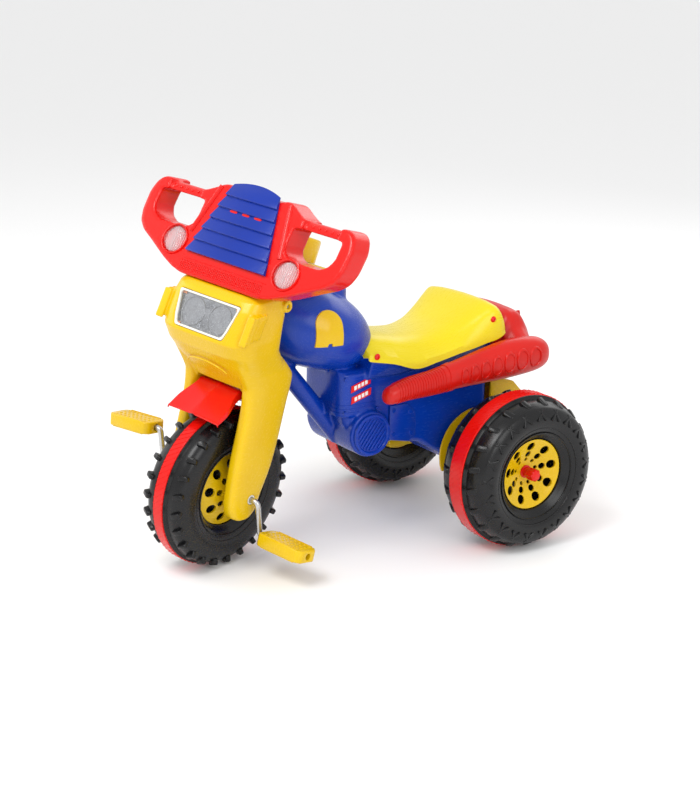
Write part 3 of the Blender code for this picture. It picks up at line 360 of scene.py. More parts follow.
def copy_of(node):
    """A merged copy of a node's loose triangles, with its flat faces made whole."""
    bm = bmesh.new()
    bm.from_mesh(frame["nodes"][node].data)
    bmesh.ops.transform(bm, matrix=frame["nodes"][node].matrix_world, verts=bm.verts)
    bmesh.ops.remove_doubles(bm, verts=bm.verts, dist=0.00002)
    bmesh.ops.dissolve_limit(bm, angle_limit=radians(1.0), verts=bm.verts, edges=bm.edges)
    mesh = bpy.data.meshes.new(node + "_copy")
    bm.to_mesh(mesh)
    bm.free()
    item = bpy.data.objects.new(node + "_copy", mesh)
    bpy.context.scene.collection.objects.link(item)
    return item


def finish_piece(item, name, material, body, slot, *nodes, angle=40):
    """Name a piece, give it its plastic, hang it on what it rides on and hide the nodes it stands for."""
    item.name = name
    item.data.name = name
    item.data.materials.clear()
    item.data.materials.append(material)
    for polygon in item.data.polygons:
        polygon.material_index = 0
    item.data.shade_smooth()
    item.data.set_sharp_from_angle(angle=radians(angle))
    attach(item, body)
    if nodes:
        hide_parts(*nodes)
    print(name, len(item.data.polygons), "faces")
    return item

# %% [markdown]
# ## Repeats with Geometry Nodes
# Lugs, bolts, ribs, dots and slots repeat by a rule, so one tree makes them all: it takes
# the object's own mesh as the pattern piece and copies it `Count` times, each copy turned
# by `Turn` and moved by `Step` more than the one before. The result is realised, because
# instances don't survive export, and then it is frozen into a plain mesh.

# %% The repeat tree
def repeat_tree():
    tree = bpy.data.node_groups.new("repeat by rule", "GeometryNodeTree")
    face = tree.interface
    face.new_socket("Geometry", in_out="INPUT", socket_type="NodeSocketGeometry")
    for name, kind in (("Count", "NodeSocketInt"), ("Turn", "NodeSocketVector"), ("Step", "NodeSocketVector"),
                       ("Material", "NodeSocketMaterial")):
        face.new_socket(name, in_out="INPUT", socket_type=kind)
    face.new_socket("Geometry", in_out="OUTPUT", socket_type="NodeSocketGeometry")
    start = add(tree, "NodeGroupInput")
    index = add(tree, "GeometryNodeInputIndex")
    turn = add(tree, "ShaderNodeVectorMath", {0: (start, "Turn"), "Scale": (index, "Index")},
               operation="SCALE")
    step = add(tree, "ShaderNodeVectorMath", {0: (start, "Step"), "Scale": (index, "Index")},
               operation="SCALE")
    points = add(tree, "GeometryNodePoints", {"Count": (start, "Count"), "Position": (step, "Vector")})
    copies = add(tree, "GeometryNodeInstanceOnPoints",
                 {"Points": (points, 0), "Instance": (start, "Geometry"), "Rotation": (turn, "Vector")})
    real = add(tree, "GeometryNodeRealizeInstances", {"Geometry": (copies, 0)})
    paint = add(tree, "GeometryNodeSetMaterial", {"Geometry": (real, 0), "Material": (start, "Material")})
    add(tree, "NodeGroupOutput", {0: (paint, 0)})
    return tree


REPEAT = repeat_tree()


def repeated(item, count, turn=(0, 0, 0), step=(0, 0, 0), material=None):
    """Copy an object's mesh by the rule, about the origin, and freeze the result."""
    modifier = item.modifiers.new("repeat", "NODES")
    modifier.node_group = REPEAT
    names = {socket.name: socket.identifier for socket in REPEAT.interface.items_tree
             if socket.in_out == "INPUT"}
    for key, value in (("Count", count), ("Turn", turn), ("Step", step), ("Material", material)):
        if value is not None:
            modifier[names[key]] = value
    return evaluated(item)


def placed(item, matrix):
    item.data.transform(matrix)
    item.data.update()
    return item


print("repeat tree has", len(REPEAT.nodes), "nodes")

# %% [markdown]
# ## Tyres
# Each tyre is a hollow bubble of black polyethylene. Its tread is two rows of shoulder
# lugs with a red band pressed into the groove between them. The tyre is a turned outline
# with eased corners, and a black web closes it behind the hub discs: a dark sheet that
# paints the shade inside the hollow wheel, so that the disc holes look dark. One lug is a
# tapered block; the repeat tree copies it round the wheel.

# %% Tyres, lugs and sidewall rings
def tyre_outline(half, band_half, face, lug_floor):
    """Closed (radius, height) outline from the groove over the shoulder to the web."""
    # The last points turn in to a black web at the middle: a dark sheet painted behind the disc holes as
    # their shade.
    side = [(WHEEL_R - 0.0049, band_half + 0.0004), (WHEEL_R - 0.0026, band_half + 0.0006),
            (WHEEL_R - 0.0020, band_half + 0.0022), (lug_floor, band_half + 0.0045),
            (lug_floor - 0.0008, half * 0.58),
            (lug_floor - 0.0040, half * 0.74), (WHEEL_R * 0.875, half * 0.87),
            (WHEEL_R * 0.815, half * 0.945),
            (WHEEL_R * 0.75, half * 0.98), (WHEEL_R * 0.68, half * 0.975), (WHEEL_R * 0.61, half * 0.925),
            (WHEEL_R * 0.54, half * 0.84), (0.0600, face + 0.0030), (0.0584, face + 0.0018),
            (0.0575, face), (0.0574, 0.004), (0.0130, 0.004)]
    return side + [(r, -h) for r, h in side[::-1]]


def tyre(name, half, band_half, face, lugs, lug_size, lug_x, lug_r, at, place, body, node):
    rows = eased(tyre_outline(half, band_half, face, lug_r - lug_size[2] * 0.35), 2)
    shell = turned(name, [tuple(r) for r in rows], 144, STAY, (1, 0, 0))
    parts = [shell]
    for side in (1, -1):
        a, b, c = lug_size
        lug = skin("lug", [[(x * s, y * s + skew, z) for x, y in rounded_rect(a / 2, b / 2, 12, 5.0)]
                           for z, s, skew in ((-0.006, 1.06, 0.0), (c * 0.55, 0.97, 0.0),
                                              (c * 0.85, 0.90, 0.0),
                                              (c, 0.78, 0.0))])
        placed(lug, Matrix.Translation((side * lug_x, 0,
                                        lug_r - c)) @ Matrix.Rotation(side * radians(30 if half > 0.05
               else 22), 4, "Y") @ Matrix.Rotation(side * radians(14), 4, "Z"))
        placed(lug, Matrix.Rotation(pi / lugs * (side > 0), 4, "X"))
        parts.append(repeated(lug, lugs, (2 * pi / lugs, 0, 0)))
        if half > 0.05:
            bar = block("chevron", (0.0035, 0.0040, 0.022), (0, 0, 0))
            bevelled(bar, 0.0012)
            for lean in (32, -32):
                mark = bar.copy()
                mark.data = bar.data.copy()
                bpy.context.scene.collection.objects.link(mark)
                placed(mark, Matrix.Translation((side * 0.0500, 0, 0.1035)) @ Matrix.Rotation(-side * 0.46,
                        4, "Y")
                       @ Matrix.Rotation(radians(lean), 4, "X") @ Matrix.Translation((0, 0, -0.004)))
                parts.append(repeated(mark, lugs, (2 * pi / lugs, 0, 0)))
            bpy.data.objects.remove(bar)
        for radius, height in ((0.079, half * 0.945), (0.070, half * 0.90)):
            bead = [(radius + 0.0011 * cos(t), side * (height + 0.0011 * sin(t) - 0.0004))
                    for t in [2 * pi * i / 8 for i in range(8)]]
            parts.append(turned("ring line", bead, 120))
    piece = merged(name, parts)
    placed(piece, place @ Matrix.Translation(Vector(at)))
    return finish_piece(piece, name, BLACK, body, "black_plastic", node)


REAR_X = 0.177
tyre("front_tyre_skin", 0.039, 0.0095, 0.021, 25, (0.016, 0.0085, 0.0035), 0.0305, 0.1196, PIVOT, FRONT,
     "front_wheel", "front_tyre")
for word, side in (("left", 1), ("right", -1)):
    tyre(f"rear_tyre_skin_{word}", 0.055, 0.015, 0.037, 21, (0.020, 0.0105, 0.0035), 0.0335, 0.1186,
         (side * REAR_X, REAR_Y, WHEEL_R), STAY, f"rear_wheel_{word}", f"rear_tyre_{word}")

# %% [markdown]
# ## Crown bands
# The red band is a separate strip of harder plastic that takes the wear. Fine diagonal
# ribs are moulded across it for grip. The ribs are copies of one small bar.

# %% Bands
def band(name, width, ribs, at, place, body, node):
    half = width / 2
    outline = [(WHEEL_R - 0.0045, -half), (WHEEL_R - 0.0016, -half), (WHEEL_R - 0.0008, -half + 0.001),
               (WHEEL_R - 0.0007, half - 0.001), (WHEEL_R - 0.0016, half), (WHEEL_R - 0.0045, half)]
    strip = turned(name, outline, 120)
    rib = block("rib", (width * 1.10, 0.0022, 0.0016), (0, 0, WHEEL_R - 0.0009))
    placed(rib, Matrix.Rotation(radians(38), 4, "Z"))
    for v in rib.data.vertices:
        v.co.z += sqrt(WHEEL_R ** 2 - v.co.y ** 2) - WHEEL_R
        v.co.x = max(-half + 0.0005, min(half - 0.0005, v.co.x))
    piece = merged(name, [strip, repeated(rib, ribs, (2 * pi / ribs, 0, 0))])
    placed(piece, place @ Matrix.Translation(Vector(at)))
    return finish_piece(piece, name, RED, body, "red_plastic", node, angle=30)


band("front_band_strip", 0.019, 84, PIVOT, FRONT, "front_wheel", "front_band")
for word, side in (("left", 1), ("right", -1)):
    band(f"rear_band_strip_{word}", 0.030, 84, (side * REAR_X, REAR_Y, WHEEL_R), STAY, f"rear_wheel_{word}",
         f"rear_band_{word}")

# %% [markdown]
# ## Hub discs
# A yellow disc closes each side of a wheel. It has rings of nine round holes, three at the
# rear and two at the front, smaller towards the hub. Each ring is one hole repeated, and
# all of them go into one cutter, so that the disc is cut once. A rolled rim and a raised
# boss finish the moulding.

# %% Discs with their holes
def disc(name, outline, rows, hole_height, at, side, place, body, node):
    plate = turned(name, [(r, h * side) for r, h in outline], 96)
    cutters = []
    for radius, size, phase in rows:
        hole = rod("hole", size / 2, side * hole_height - 0.03, side * hole_height + 0.03, 20)
        placed(hole, Matrix.Rotation(phase, 4, "X") @ Matrix.Translation((0, 0, radius)))
        cutters.append(repeated(hole, 9, (2 * pi / 9, 0, 0)))
    boolean(plate, "DIFFERENCE", merged("holes", cutters))
    bevelled(plate, 0.0005, 50, 2)
    placed(plate, place @ Matrix.Translation(Vector(at)))
    return finish_piece(plate, name, YELLOW, body, "yellow_plastic", node, angle=35)


REAR_DISC = [(0.0060, 0.0145), (0.0118, 0.0145), (0.0122, 0.0172), (0.0185, 0.0172), (0.054, 0.0330),
             (0.0545, 0.0255),
             (0.0568, 0.0255), (0.0570, 0.0362), (0.0562, 0.0370), (0.0548, 0.0366), (0.0520, 0.0350),
             (0.0180, 0.0200),
             (0.0135, 0.0200), (0.0128, 0.0208), (0.0060, 0.0208)]
FRONT_DISC = [(0.0052, 0.0100), (0.0118, 0.0100), (0.0122, 0.0360), (0.054, 0.0182), (0.0545, 0.0095),
              (0.0568, 0.0095),
              (0.0570, 0.0202), (0.0562, 0.0210), (0.0546, 0.0212), (0.0500, 0.0232), (0.0160, 0.0383),
              (0.0125, 0.0388), (0.0052, 0.0390)]
ROWS = ((0.0440, 0.0146, 0.0), (0.0300, 0.0106, 0.0), (0.0200, 0.0062, 0.0))
FRONT_ROWS = ((0.0425, 0.0152, 0.0), (0.0270, 0.0104, 0.0))
for word, side in (("left", 1), ("right", -1)):
    disc(f"front_hub_disc_{word}", FRONT_DISC, FRONT_ROWS, 0.028, PIVOT, side, FRONT, "front_wheel",
         f"front_disc_{word}")
    at = (side * REAR_X, REAR_Y, WHEEL_R)
    disc(f"rear_hub_disc_outer_{word}", REAR_DISC, ROWS, 0.028, at, side, STAY, f"rear_wheel_{word}",
         f"rear_disc_outer_{word}")
    disc(f"rear_hub_disc_inner_{word}", REAR_DISC, ROWS, 0.028, at, -side, STAY, f"rear_wheel_{word}",
         f"rear_disc_inner_{word}")

# %% [markdown]
# ## Hub caps
# A red cap snaps over each end of the rear axle. It has a collar, a narrow waist and a
# head with lobes that a child can't pull off. The lobed head is a loft whose radius
# follows a cosine.

# %% Hub caps
for word, side in (("left", 1), ("right", -1)):
    base = REAR_X + 0.0204
    rings = []
    for height, radius, lobe in ((0.0, 0.0103, 0), (0.0024, 0.0104, 0), (0.0032, 0.0078, 0),
                                 (0.0118, 0.0076, 0),
                                 (0.0126, 0.0098, 0.05), (0.0136, 0.0104, 0.09), (0.0235, 0.0104, 0.09),
                                 (0.0262, 0.0096, 0.07), (0.0280, 0.0074, 0.03), (0.0288, 0.0040, 0)):
        rings.append([(side * (base + height), radius * (1 - lobe + lobe * cos(8 * t)) * cos(t),
                       radius * (1 - lobe + lobe * cos(8 * t)) * sin(t))
                      for t in [2 * pi * i / 64 for i in range(64)]])
    cap = skin("cap", rings, Matrix.Translation((0, REAR_Y, WHEEL_R)))
    finish_piece(cap, f"hub_cap_head_{word}", RED, "body", "red_plastic", f"hub_cap_{word}")

# %% [markdown]
# ## Pedals
# Each pedal is a hollow block with chamfered ends. Its tread has a raised border and rows
# of small studs for grip. The studs are made by the repeat tree: a row, then rows of rows.

# %% Pedals with studs
for word, side in (("left", 1), ("right", -1)):
    node = copy_of(f"pedal_{word}")
    bevelled(node, 0.0006, 25)
    pin = Vector(joints[f"pedal_{word}_spin"]["pos_m"])
    mount = [m for m in frame["record"]["mounts"] if m["name"] == f"foot_rest_{word}"][0]
    top, up = Vector(mount["pos_m"]), Vector(mount["axis"]).normalized()
    along = Vector(joints[f"pedal_{word}_spin"]["axis"]).normalized()
    along = (along - up * along.dot(up)).normalized()
    across = up.cross(along)
    parts = [node]
    for face in (1, -1):
        centre = top if face > 0 else top - up * 0.019
        stand = Matrix((along, across * face, up * face)).transposed().to_4x4()
        stand.translation = centre
        stud = rod("stud", 0.0021, -0.001, 0.0009, 12, STAY, (0, 0, 1), ease=0.0005)
        row = repeated(placed(stud, Matrix.Translation((-0.0315, -0.0135, 0))), 8, step=(0.009, 0, 0))
        field = repeated(row, 4, step=(0, 0.009, 0))
        parts.append(placed(field, stand))
        for edge in (-1, 1):
            lip = block("lip", (0.066, 0.0018, 0.0014), (0, edge * 0.0192, 0.0003))
            parts.append(placed(lip, stand))
    pedal = merged("pedal", parts)
    finish_piece(pedal, f"pedal_block_{word}", YELLOW, f"pedal_{word}", "yellow_plastic", f"pedal_{word}",
                 angle=30)

# %% [markdown]
# ## Crank
# The crank is one 9 mm steel bar bent into two throws. A round bar along a path is a curve
# with a bevel; here the bar's section is lofted along bends with true radii.

# %% Crank
def bent(corners, bend, steps=8):
    points = [corners[0]]
    for before, corner, after in zip(corners, corners[1:], corners[2:]):
        start = corner + (before - corner).normalized() * bend
        end = corner + (after - corner).normalized() * bend
        points += [start.lerp(corner, i / steps).lerp(corner.lerp(end, i / steps),
                                                      i / steps) for i in range(steps + 1)]
    return points + [corners[-1]]


def bar_along(name, points, radius, place=STAY, sides=24):
    """A round bar lofted along points, its ends capped flat."""
    rings, normal = [], None
    for i, point in enumerate(points):
        way = (points[min(i + 1, len(points) - 1)] - points[max(i - 1, 0)]).normalized()
        normal = way.orthogonal() if normal is None else (normal - way * normal.dot(way))
        normal.normalize()
        other = way.cross(normal)
        rings.append([point + (normal * cos(t) + other * sin(t)) * radius
                      for t in [2 * pi * k / sides for k in range(sides)]])
    return skin(name, rings, place)


swing = Vector((0.0, sin(radians(9.7)), -cos(radians(9.7)))) * 0.0567
left, right = PIVOT + swing + Vector((0.086, 0, 0)), PIVOT - swing - Vector((0.116, 0, 0))
droop = Vector((-cos(radians(6)), 0, -sin(radians(6))))
reach = 0.088 * 0.86
route = bent([right + droop * reach, right, Vector((right.x, PIVOT.y, PIVOT.z)),
              Vector((left.x, PIVOT.y, PIVOT.z)),
              left, left + Vector((reach, 0, 0))], 0.008)
finish_piece(bar_along("crank", route, 0.0045, FRONT), "crank_bar", ZINC, "front_wheel", "zinc_steel",
             "crank_axle")

# %% [markdown]
# ## Body
# The blue body is blown from one tube of soft polyethylene, so tank, engine and seat base
# flow into each other with no sharp corner. Booleans would leave hard seams. Instead the
# tank, the engine block, the crankcase and the frame tubes are closed shells that are
# fused by a voxel remesh and smoothed, and only the crisp engine details are added after.

# %% Body shells
CASE = Vector((0.0, 0.018, 0.183))


def axis_point(height):
    return Vector((0.0, PIVOT.y + tan(RAKE) * (height - PIVOT.z), height))


def tank_form(name, grow=0.0, across=72, along=44):
    """The egg-shaped tank, nose up, narrowed in front to fit between the fork's sides."""
    verts, faces = [], []
    for j in range(along + 1):
        pitch = pi * j / along
        for i in range(across):
            t = 2 * pi * i / across
            x, y, z = sin(pitch) * cos(t), -cos(pitch), sin(pitch) * sin(t)
            narrow = 1.0 - 0.30 * max(0.0, -y - 0.15)
            verts.append((x * (0.085 + grow) * narrow, y * (0.113 + grow), z * (0.064 + grow)))
    for j in range(along):
        for i in range(across):
            k = (i + 1) % across
            a, b, c, d = j * across + i, j * across + k, (j + 1) * across + k, (j + 1) * across + i
            faces.append((a, b, c, d))
    place = Matrix.Translation((0.0, -0.063, 0.356)) @ Matrix.Rotation(-TANK_PITCH, 4, "X")
    bm = bmesh.new()
    made = [bm.verts.new(place @ Vector(v)) for v in verts]
    for face in faces:
        try_face = [made[i] for i in face]
        bm.faces.new(try_face)
    bmesh.ops.remove_doubles(bm, verts=bm.verts, dist=0.00002)
    bmesh.ops.dissolve_degenerate(bm, edges=bm.edges, dist=0.00002)
    bmesh.ops.recalc_face_normals(bm, faces=bm.faces)
    mesh = bpy.data.meshes.new(name)
    bm.to_mesh(mesh)
    bm.free()
    item = bpy.data.objects.new(name, mesh)
    bpy.context.scene.collection.objects.link(item)
    return item


def side_slab():
    """The body under the seat: a side outline, given width and narrowed towards the front."""
    outline = [(-0.034, 0.288), (-0.034, 0.250), (-0.022, 0.200), (0.000, 0.160), (0.035, 0.156),
               (0.075, 0.161),
               (0.118, 0.151), (0.158, 0.127), (0.188, 0.106), (0.215, 0.098), (0.236, 0.098),
               (0.2465, 0.110),
               (0.2465, 0.288)]
    rings = []
    for share, shrink in ((-1.0, 0.010), (-0.95, 0.0045), (-0.85, 0.0), (0.85, 0.0), (0.95, 0.0045),
                          (1.0, 0.010)):
        ring = []
        for y, z in outline:
            inward = Vector((0.105 - y, 0.215 - z)).normalized() * shrink
            half = 0.067 - 0.062 * (REAR_Y - y)
            ring.append((share * half, y + inward.x, z + inward.y))
        rings.append(ring)
    return skin("side_slab", rings)


def seat_base():
    rings = []
    for y, edge, edge_z, hem, hem_z in [(0.012, 0.052, 0.335, 0.077, 0.304),
                                        (0.050, 0.055, 0.328, 0.081, 0.296),
                                        (0.090, 0.057, 0.320, 0.084, 0.284),
                                        (0.130, 0.060, 0.318, 0.087, 0.291),
                                        (0.165, 0.065, 0.326, 0.090, 0.299),
                                        (0.195, 0.072, 0.342, 0.092, 0.305),
                                        (0.220, 0.079, 0.359, 0.094, 0.311),
                                        (0.245, 0.084, 0.364, 0.095, 0.314)]:
        wide = min(hem - 0.006, 0.077)
        half = [(0.060, 0.272), (wide, hem_z - 0.001), (min(edge - 0.003, wide), edge_z - 0.013),
                (edge - 0.012, edge_z - 0.008)]
        rings.append([(a, y, b) for a, b in half] + [(-a, y, b) for a, b in half[::-1]])
    return skin("seat_base", rings)


case_outline = [(0.00001, 0.064), (0.0352, 0.064), (0.037, 0.062), (0.037, -0.062), (0.0352, -0.064),
                (0.00001, -0.064)]
tube_route = bent([Vector((0, -0.136, 0.330)), Vector((0, -0.095, 0.281)), Vector((0, -0.041, 0.215)),
                   Vector((0, 0.000, 0.165))], 0.014)
engine = prism("engine", rounded_rect(0.056, 0.040, 48, 5.0), -0.034, 0.034,
               Matrix.Translation((0, 0.004, 0.248)))
shells = [side_slab(), seat_base(), tank_form("tank"), engine,
          turned("case", case_outline, 96, STAY, (1, 0, 0), CASE),
          bar_along("down_tube", tube_route, 0.0148),
          rod("head", 0.0278, -0.0585, 0.0585, 64, STAY, STEER_AXIS, axis_point(0.3855), 0.002),
          rod("filler", 0.0295, -0.02, 0.0197, 64, STAY, (0, 0, 1), (0, -0.026, 0.396), 0.003)]
body = fused("body", shells, 0.0021, 5)
print("fused body", len(body.data.polygons), "faces")

# %% [markdown]
# ### Engine details
# The sides of the engine carry a round cover with raised slats and small bolts round its
# rim, a gearbox plate with four bosses, cooling fins on the block, and two slanted
# banners, each a plain red bar with white marks. The bolts are one head, repeated round the cover.

# %% Engine cover, bolts and fins
details = [body]
for side in (1, -1):
    face = side * 0.0640
    rim = [(0.0330, 0.0), (0.0330, 0.0052), (0.0322, 0.0060), (0.0292, 0.0060), (0.0284, 0.0050),
           (0.0272, 0.0030),
           (0.00001, 0.0030), (0.00001, -0.004), (0.0330, -0.004)]
    details.append(turned("cover", [(r, side * h + face) for r, h in rim], 96, STAY, (1, 0, 0), CASE))
    for i in range(9):
        offset = (i - 4) * 0.0058
        span = sqrt(max(0.0, 0.0262 ** 2 - offset ** 2))
        slat = block("slat", (0.0026, 0.0030, 2 * span - 0.002), (0, 0, 0))
        bevelled(slat, 0.0008)
        details.append(placed(slat, Matrix.Translation(CASE) @ Matrix.Translation((face + side * 0.0036, 0,
                0))
                              @ Matrix.Rotation(radians(-38), 4, "X") @ Matrix.Translation((0, offset, 0))))
    bolt = rod("bolt", 0.0021, face + side * 0.0055 - 0.0012, face + side * 0.0055 + 0.0012, 12, STAY,
               (1, 0, 0),
               (0, 0, 0), 0.0005)
    placed(bolt, Matrix.Translation((0, 0, 0.0308)))
    details.append(placed(repeated(bolt, 8, (2 * pi / 8, 0, 0)), Matrix.Translation(CASE)))
    plate = prism("gearbox", [(0.056, 0.166), (0.094, 0.158), (0.108, 0.166), (0.106, 0.206), (0.090, 0.222),
                              (0.056, 0.222)], 0, 0.0034,
                  Matrix(((0, 0, side, side * (0.067 - 0.062 * (REAR_Y - 0.081)) - side * 0.0009),
                          (1, 0, 0, 0),
                          (0, 1, 0, 0), (0, 0, 0, 1))))
    details.append(bevelled(plate, 0.0009))
    half = 0.067 - 0.062 * (REAR_Y - 0.081)
    for y, z in ((0.0635, 0.174), (0.098, 0.172), (0.096, 0.208), (0.0635, 0.214)):
        details.append(rod("boss", 0.0042, side * half - 0.001, side * half + 0.0032, 20, STAY, (1, 0, 0),
                           (0, y, z),
                           0.0008))
    fin = prism("fin", rounded_rect(0.0568, 0.0408, 48, 5.0), -0.0012, 0.0012,
                Matrix.Translation((0, 0.004, 0.2205)))
    details.append(repeated(bevelled(fin, 0.0005), 3, step=(0, 0,
                                                            0.0060))) if side > 0 \
        else bpy.data.objects.remove(fin)
    for y, z in ((-0.027, 0.276), (0.034, 0.276), (-0.027, 0.222), (0.034, 0.222)):
        details.append(rod("block bolt", 0.0026, side * 0.0550, side * 0.0580, 16, STAY, (1, 0, 0),
                           (0, y, z), 0.0006))
body = merged("body", details)
finish_piece(body, "body_blown", BLUE, "body", "blue_plastic", "body_shell", angle=32)

# %% Decals: two slanted banners of plain bars on each side of the block
for side, word in ((1, "left"), (-1, "right")):
    wall_at = Matrix(((0, 0, side, side * 0.0564), (1, 0, 0, 0), (0, 1, 0, 0), (0, 0, 0, 1)))
    red_bars, white_bars = [], []
    for y, z in ((0.002, 0.264), (0.003, 0.246)):
        slant = Matrix.Translation((y, z, 0)) @ Matrix.Rotation(radians(17), 4, "Z")
        red_bars.append(prism("bar", [(-0.021, -0.0052), (0.017, -0.0052), (0.021, 0.0052),
                                      (-0.017, 0.0052)], -0.0004,
                              0.0004, wall_at @ slant))
        for i in range(4):
            start = -0.0140 + i * 0.0070
            white_bars.append(prism("mark", [(start, -0.0030), (start + 0.0050, -0.0030),
                                             (start + 0.0064, 0.0030),
                                             (start + 0.0014, 0.0030)], -0.0004, 0.0007, wall_at @ slant))
    finish_piece(merged("bars", red_bars), f"engine_banner_{word}", RED_DECAL, "body", "red_plastic",
                 angle=30)
    finish_piece(merged("marks", white_bars), f"engine_marks_{word}", WHITE_DECAL, "body", "bush_plastic",
                 angle=30)

# %% [markdown]
# ### Tank plates
# An arched yellow plate is pressed on each side of the tank, with a small notch at its
# foot. It follows the tank because it is cut from a second, slightly larger tank.

# %% Tank plates
def arch_points():
    foot = [(-0.096, 0.341), (-0.078, 0.341), (-0.077, 0.346), (-0.071, 0.346), (-0.070, 0.341),
            (-0.052, 0.341),
            (-0.052, 0.374)]
    top = [(-0.074 + 0.022 * cos(radians(a)), 0.374 + 0.021 * sin(radians(a))) for a in range(8, 176, 8)]
    return foot + top + [(-0.096, 0.374)]


for side, word in ((1, "left"), (-1, "right")):
    plate = prism("plate", arch_points(), 0.045, 0.100,
                  Matrix(((0, 0, side, 0), (1, 0, 0, 0), (0, 1, 0, 0), (0, 0, 0, 1))))
    boolean(plate, "INTERSECT", tank_form("outer", 0.0021, 144, 88))
    boolean(plate, "DIFFERENCE", tank_form("inner", -0.0010, 144, 88))
    finish_piece(plate, f"tank_arch_{word}", YELLOW, "body", "yellow_plastic", f"tank_plate_{word}", angle=30)

# %% [markdown]
# ## Seat
# The saddle is a thin yellow moulding: a broad nose, a dip, and a kicked-up back. Its
# sides fall as a skirt with a crease along the top edge. The cross sections are eased
# along the length with Catmull-Rom curves, and the wall is added with Solidify.

# %% Seat
SEAT = [(0.004, 0.322, 0.050, 0.318, 0.074, 0.306), (0.010, 0.343, 0.052, 0.335, 0.077, 0.304),
        (0.050, 0.337, 0.055, 0.328, 0.081, 0.296), (0.090, 0.330, 0.057, 0.320, 0.084, 0.284),
        (0.130, 0.329, 0.060, 0.318, 0.087, 0.291), (0.165, 0.336, 0.065, 0.326, 0.090, 0.299),
        (0.195, 0.351, 0.072, 0.342, 0.092, 0.305), (0.220, 0.367, 0.079, 0.359, 0.094, 0.311),
        (0.236, 0.3735, 0.084, 0.367, 0.095, 0.314), (0.250, 0.368, 0.084, 0.360, 0.094, 0.318),
        (0.260, 0.345, 0.080, 0.338, 0.090, 0.322)]
rings = []
for y, crown, edge, edge_z, hem, hem_z in eased(SEAT, 8):
    y, hem, crown = max(0.004, min(0.260, y)), min(hem, 0.095), min(crown, 0.3738)
    half = [(hem, hem_z), (hem - 0.0012, hem_z + 0.15 * (edge_z - hem_z)),
            (hem - 0.002, hem_z + 0.35 * (edge_z - hem_z)),
            (edge + 0.009, edge_z - 0.011), (edge + 0.0042, edge_z - 0.0042), (edge, edge_z - 0.0006),
            (edge - 0.005, edge_z + 0.25 * (crown - edge_z)), (edge * 0.66, edge_z + 0.72 * (crown - edge_z)),
            (edge * 0.33, crown - 0.0005)]
    rings.append([(-a, y, b) for a, b in half] + [(0.0, y, crown)] + [(a, y, b) for a, b in half[::-1]])
seat = skin("seat", rings, STAY, False, False)
if max(seat.data.polygons, key=lambda p: p.center.z).normal.z < 0:
    seat.data.flip_normals()
wall = seat.modifiers.new("wall", "SOLIDIFY")
wall.thickness = 0.003
wall.offset = -1.0
evaluated(seat)
finish_piece(seat, "seat_moulding", LEMON, "body", "yellow_plastic", "seat", angle=50)

# %% [markdown]
# ## Rivets
# Four red push rivets hold the seat. Each has a domed head with a small centre dimple.

# %% Seat rivets
for word, side in (("left", 1), ("right", -1)):
    for y, z, edge, place in ((0.0175, 0.3115, 0.0765, "front"), (0.232, 0.348, 0.0915, "rear")):
        dome = [(0.00001, 0.0020), (0.0008, 0.0022), (0.0014, 0.0031), (0.0030, 0.0027), (0.0046, 0.0014),
                (0.0052, 0.0004),
                (0.0022, 0.0004), (0.0022, -0.012), (0.00001, -0.012)]
        head = turned("rivet", [(r, side * h) for r, h in dome], 40, STAY, (1, 0, 0), (side * edge, y, z))
        finish_piece(head, f"push_rivet_{place}_{word}", RED, "body", "red_plastic",
                     f"seat_rivet_{place}_{word}")

# %% [markdown]
# ## Tail
# The red tail is blown too: two tubes like exhausts run back along the sides and meet
# behind the seat in a ribbed cowl. Each tube has fine ribs round its front third, then a
# plain band, and then a row of ovals that grow towards the rear. Ribs and ovals are
# single rings lofted at the tube's own section, so they sit on its skin.

# %% Tail tubes and cowl
ARM = [(0.015, 0.2525, 0.100, 0.0030, 0.0035), (0.018, 0.253, 0.100, 0.0095, 0.010),
       (0.027, 0.255, 0.101, 0.0135, 0.0145),
       (0.060, 0.261, 0.102, 0.016, 0.017), (0.105, 0.265, 0.104, 0.0175, 0.019),
       (0.155, 0.273, 0.106, 0.019, 0.023),
       (0.240, 0.284, 0.109, 0.022, 0.031), (0.297, 0.287, 0.110, 0.022, 0.029),
       (0.322, 0.286, 0.108, 0.018, 0.022),
       (0.333, 0.284, 0.105, 0.010, 0.012)]
ARM_ROWS = eased(ARM, 6)


def arm_at(y):
    """The arm's middle and half sizes at a distance along the tricycle."""
    for a, b in zip(ARM_ROWS, ARM_ROWS[1:]):
        if a[0] <= y <= b[0]:
            t = (y - a[0]) / max(b[0] - a[0], 1e-9)
            return [p + (q - p) * t for p, q in zip(a, b)]
    return ARM_ROWS[-1]


def arm_ring(y, side, grow=0.0, count=40):
    _, z, x, half_x, half_z = arm_at(y)
    return [(side * (x + a), y, z + b) for a, b in rounded_rect(half_x + grow, half_z + grow, count, 2.2)]


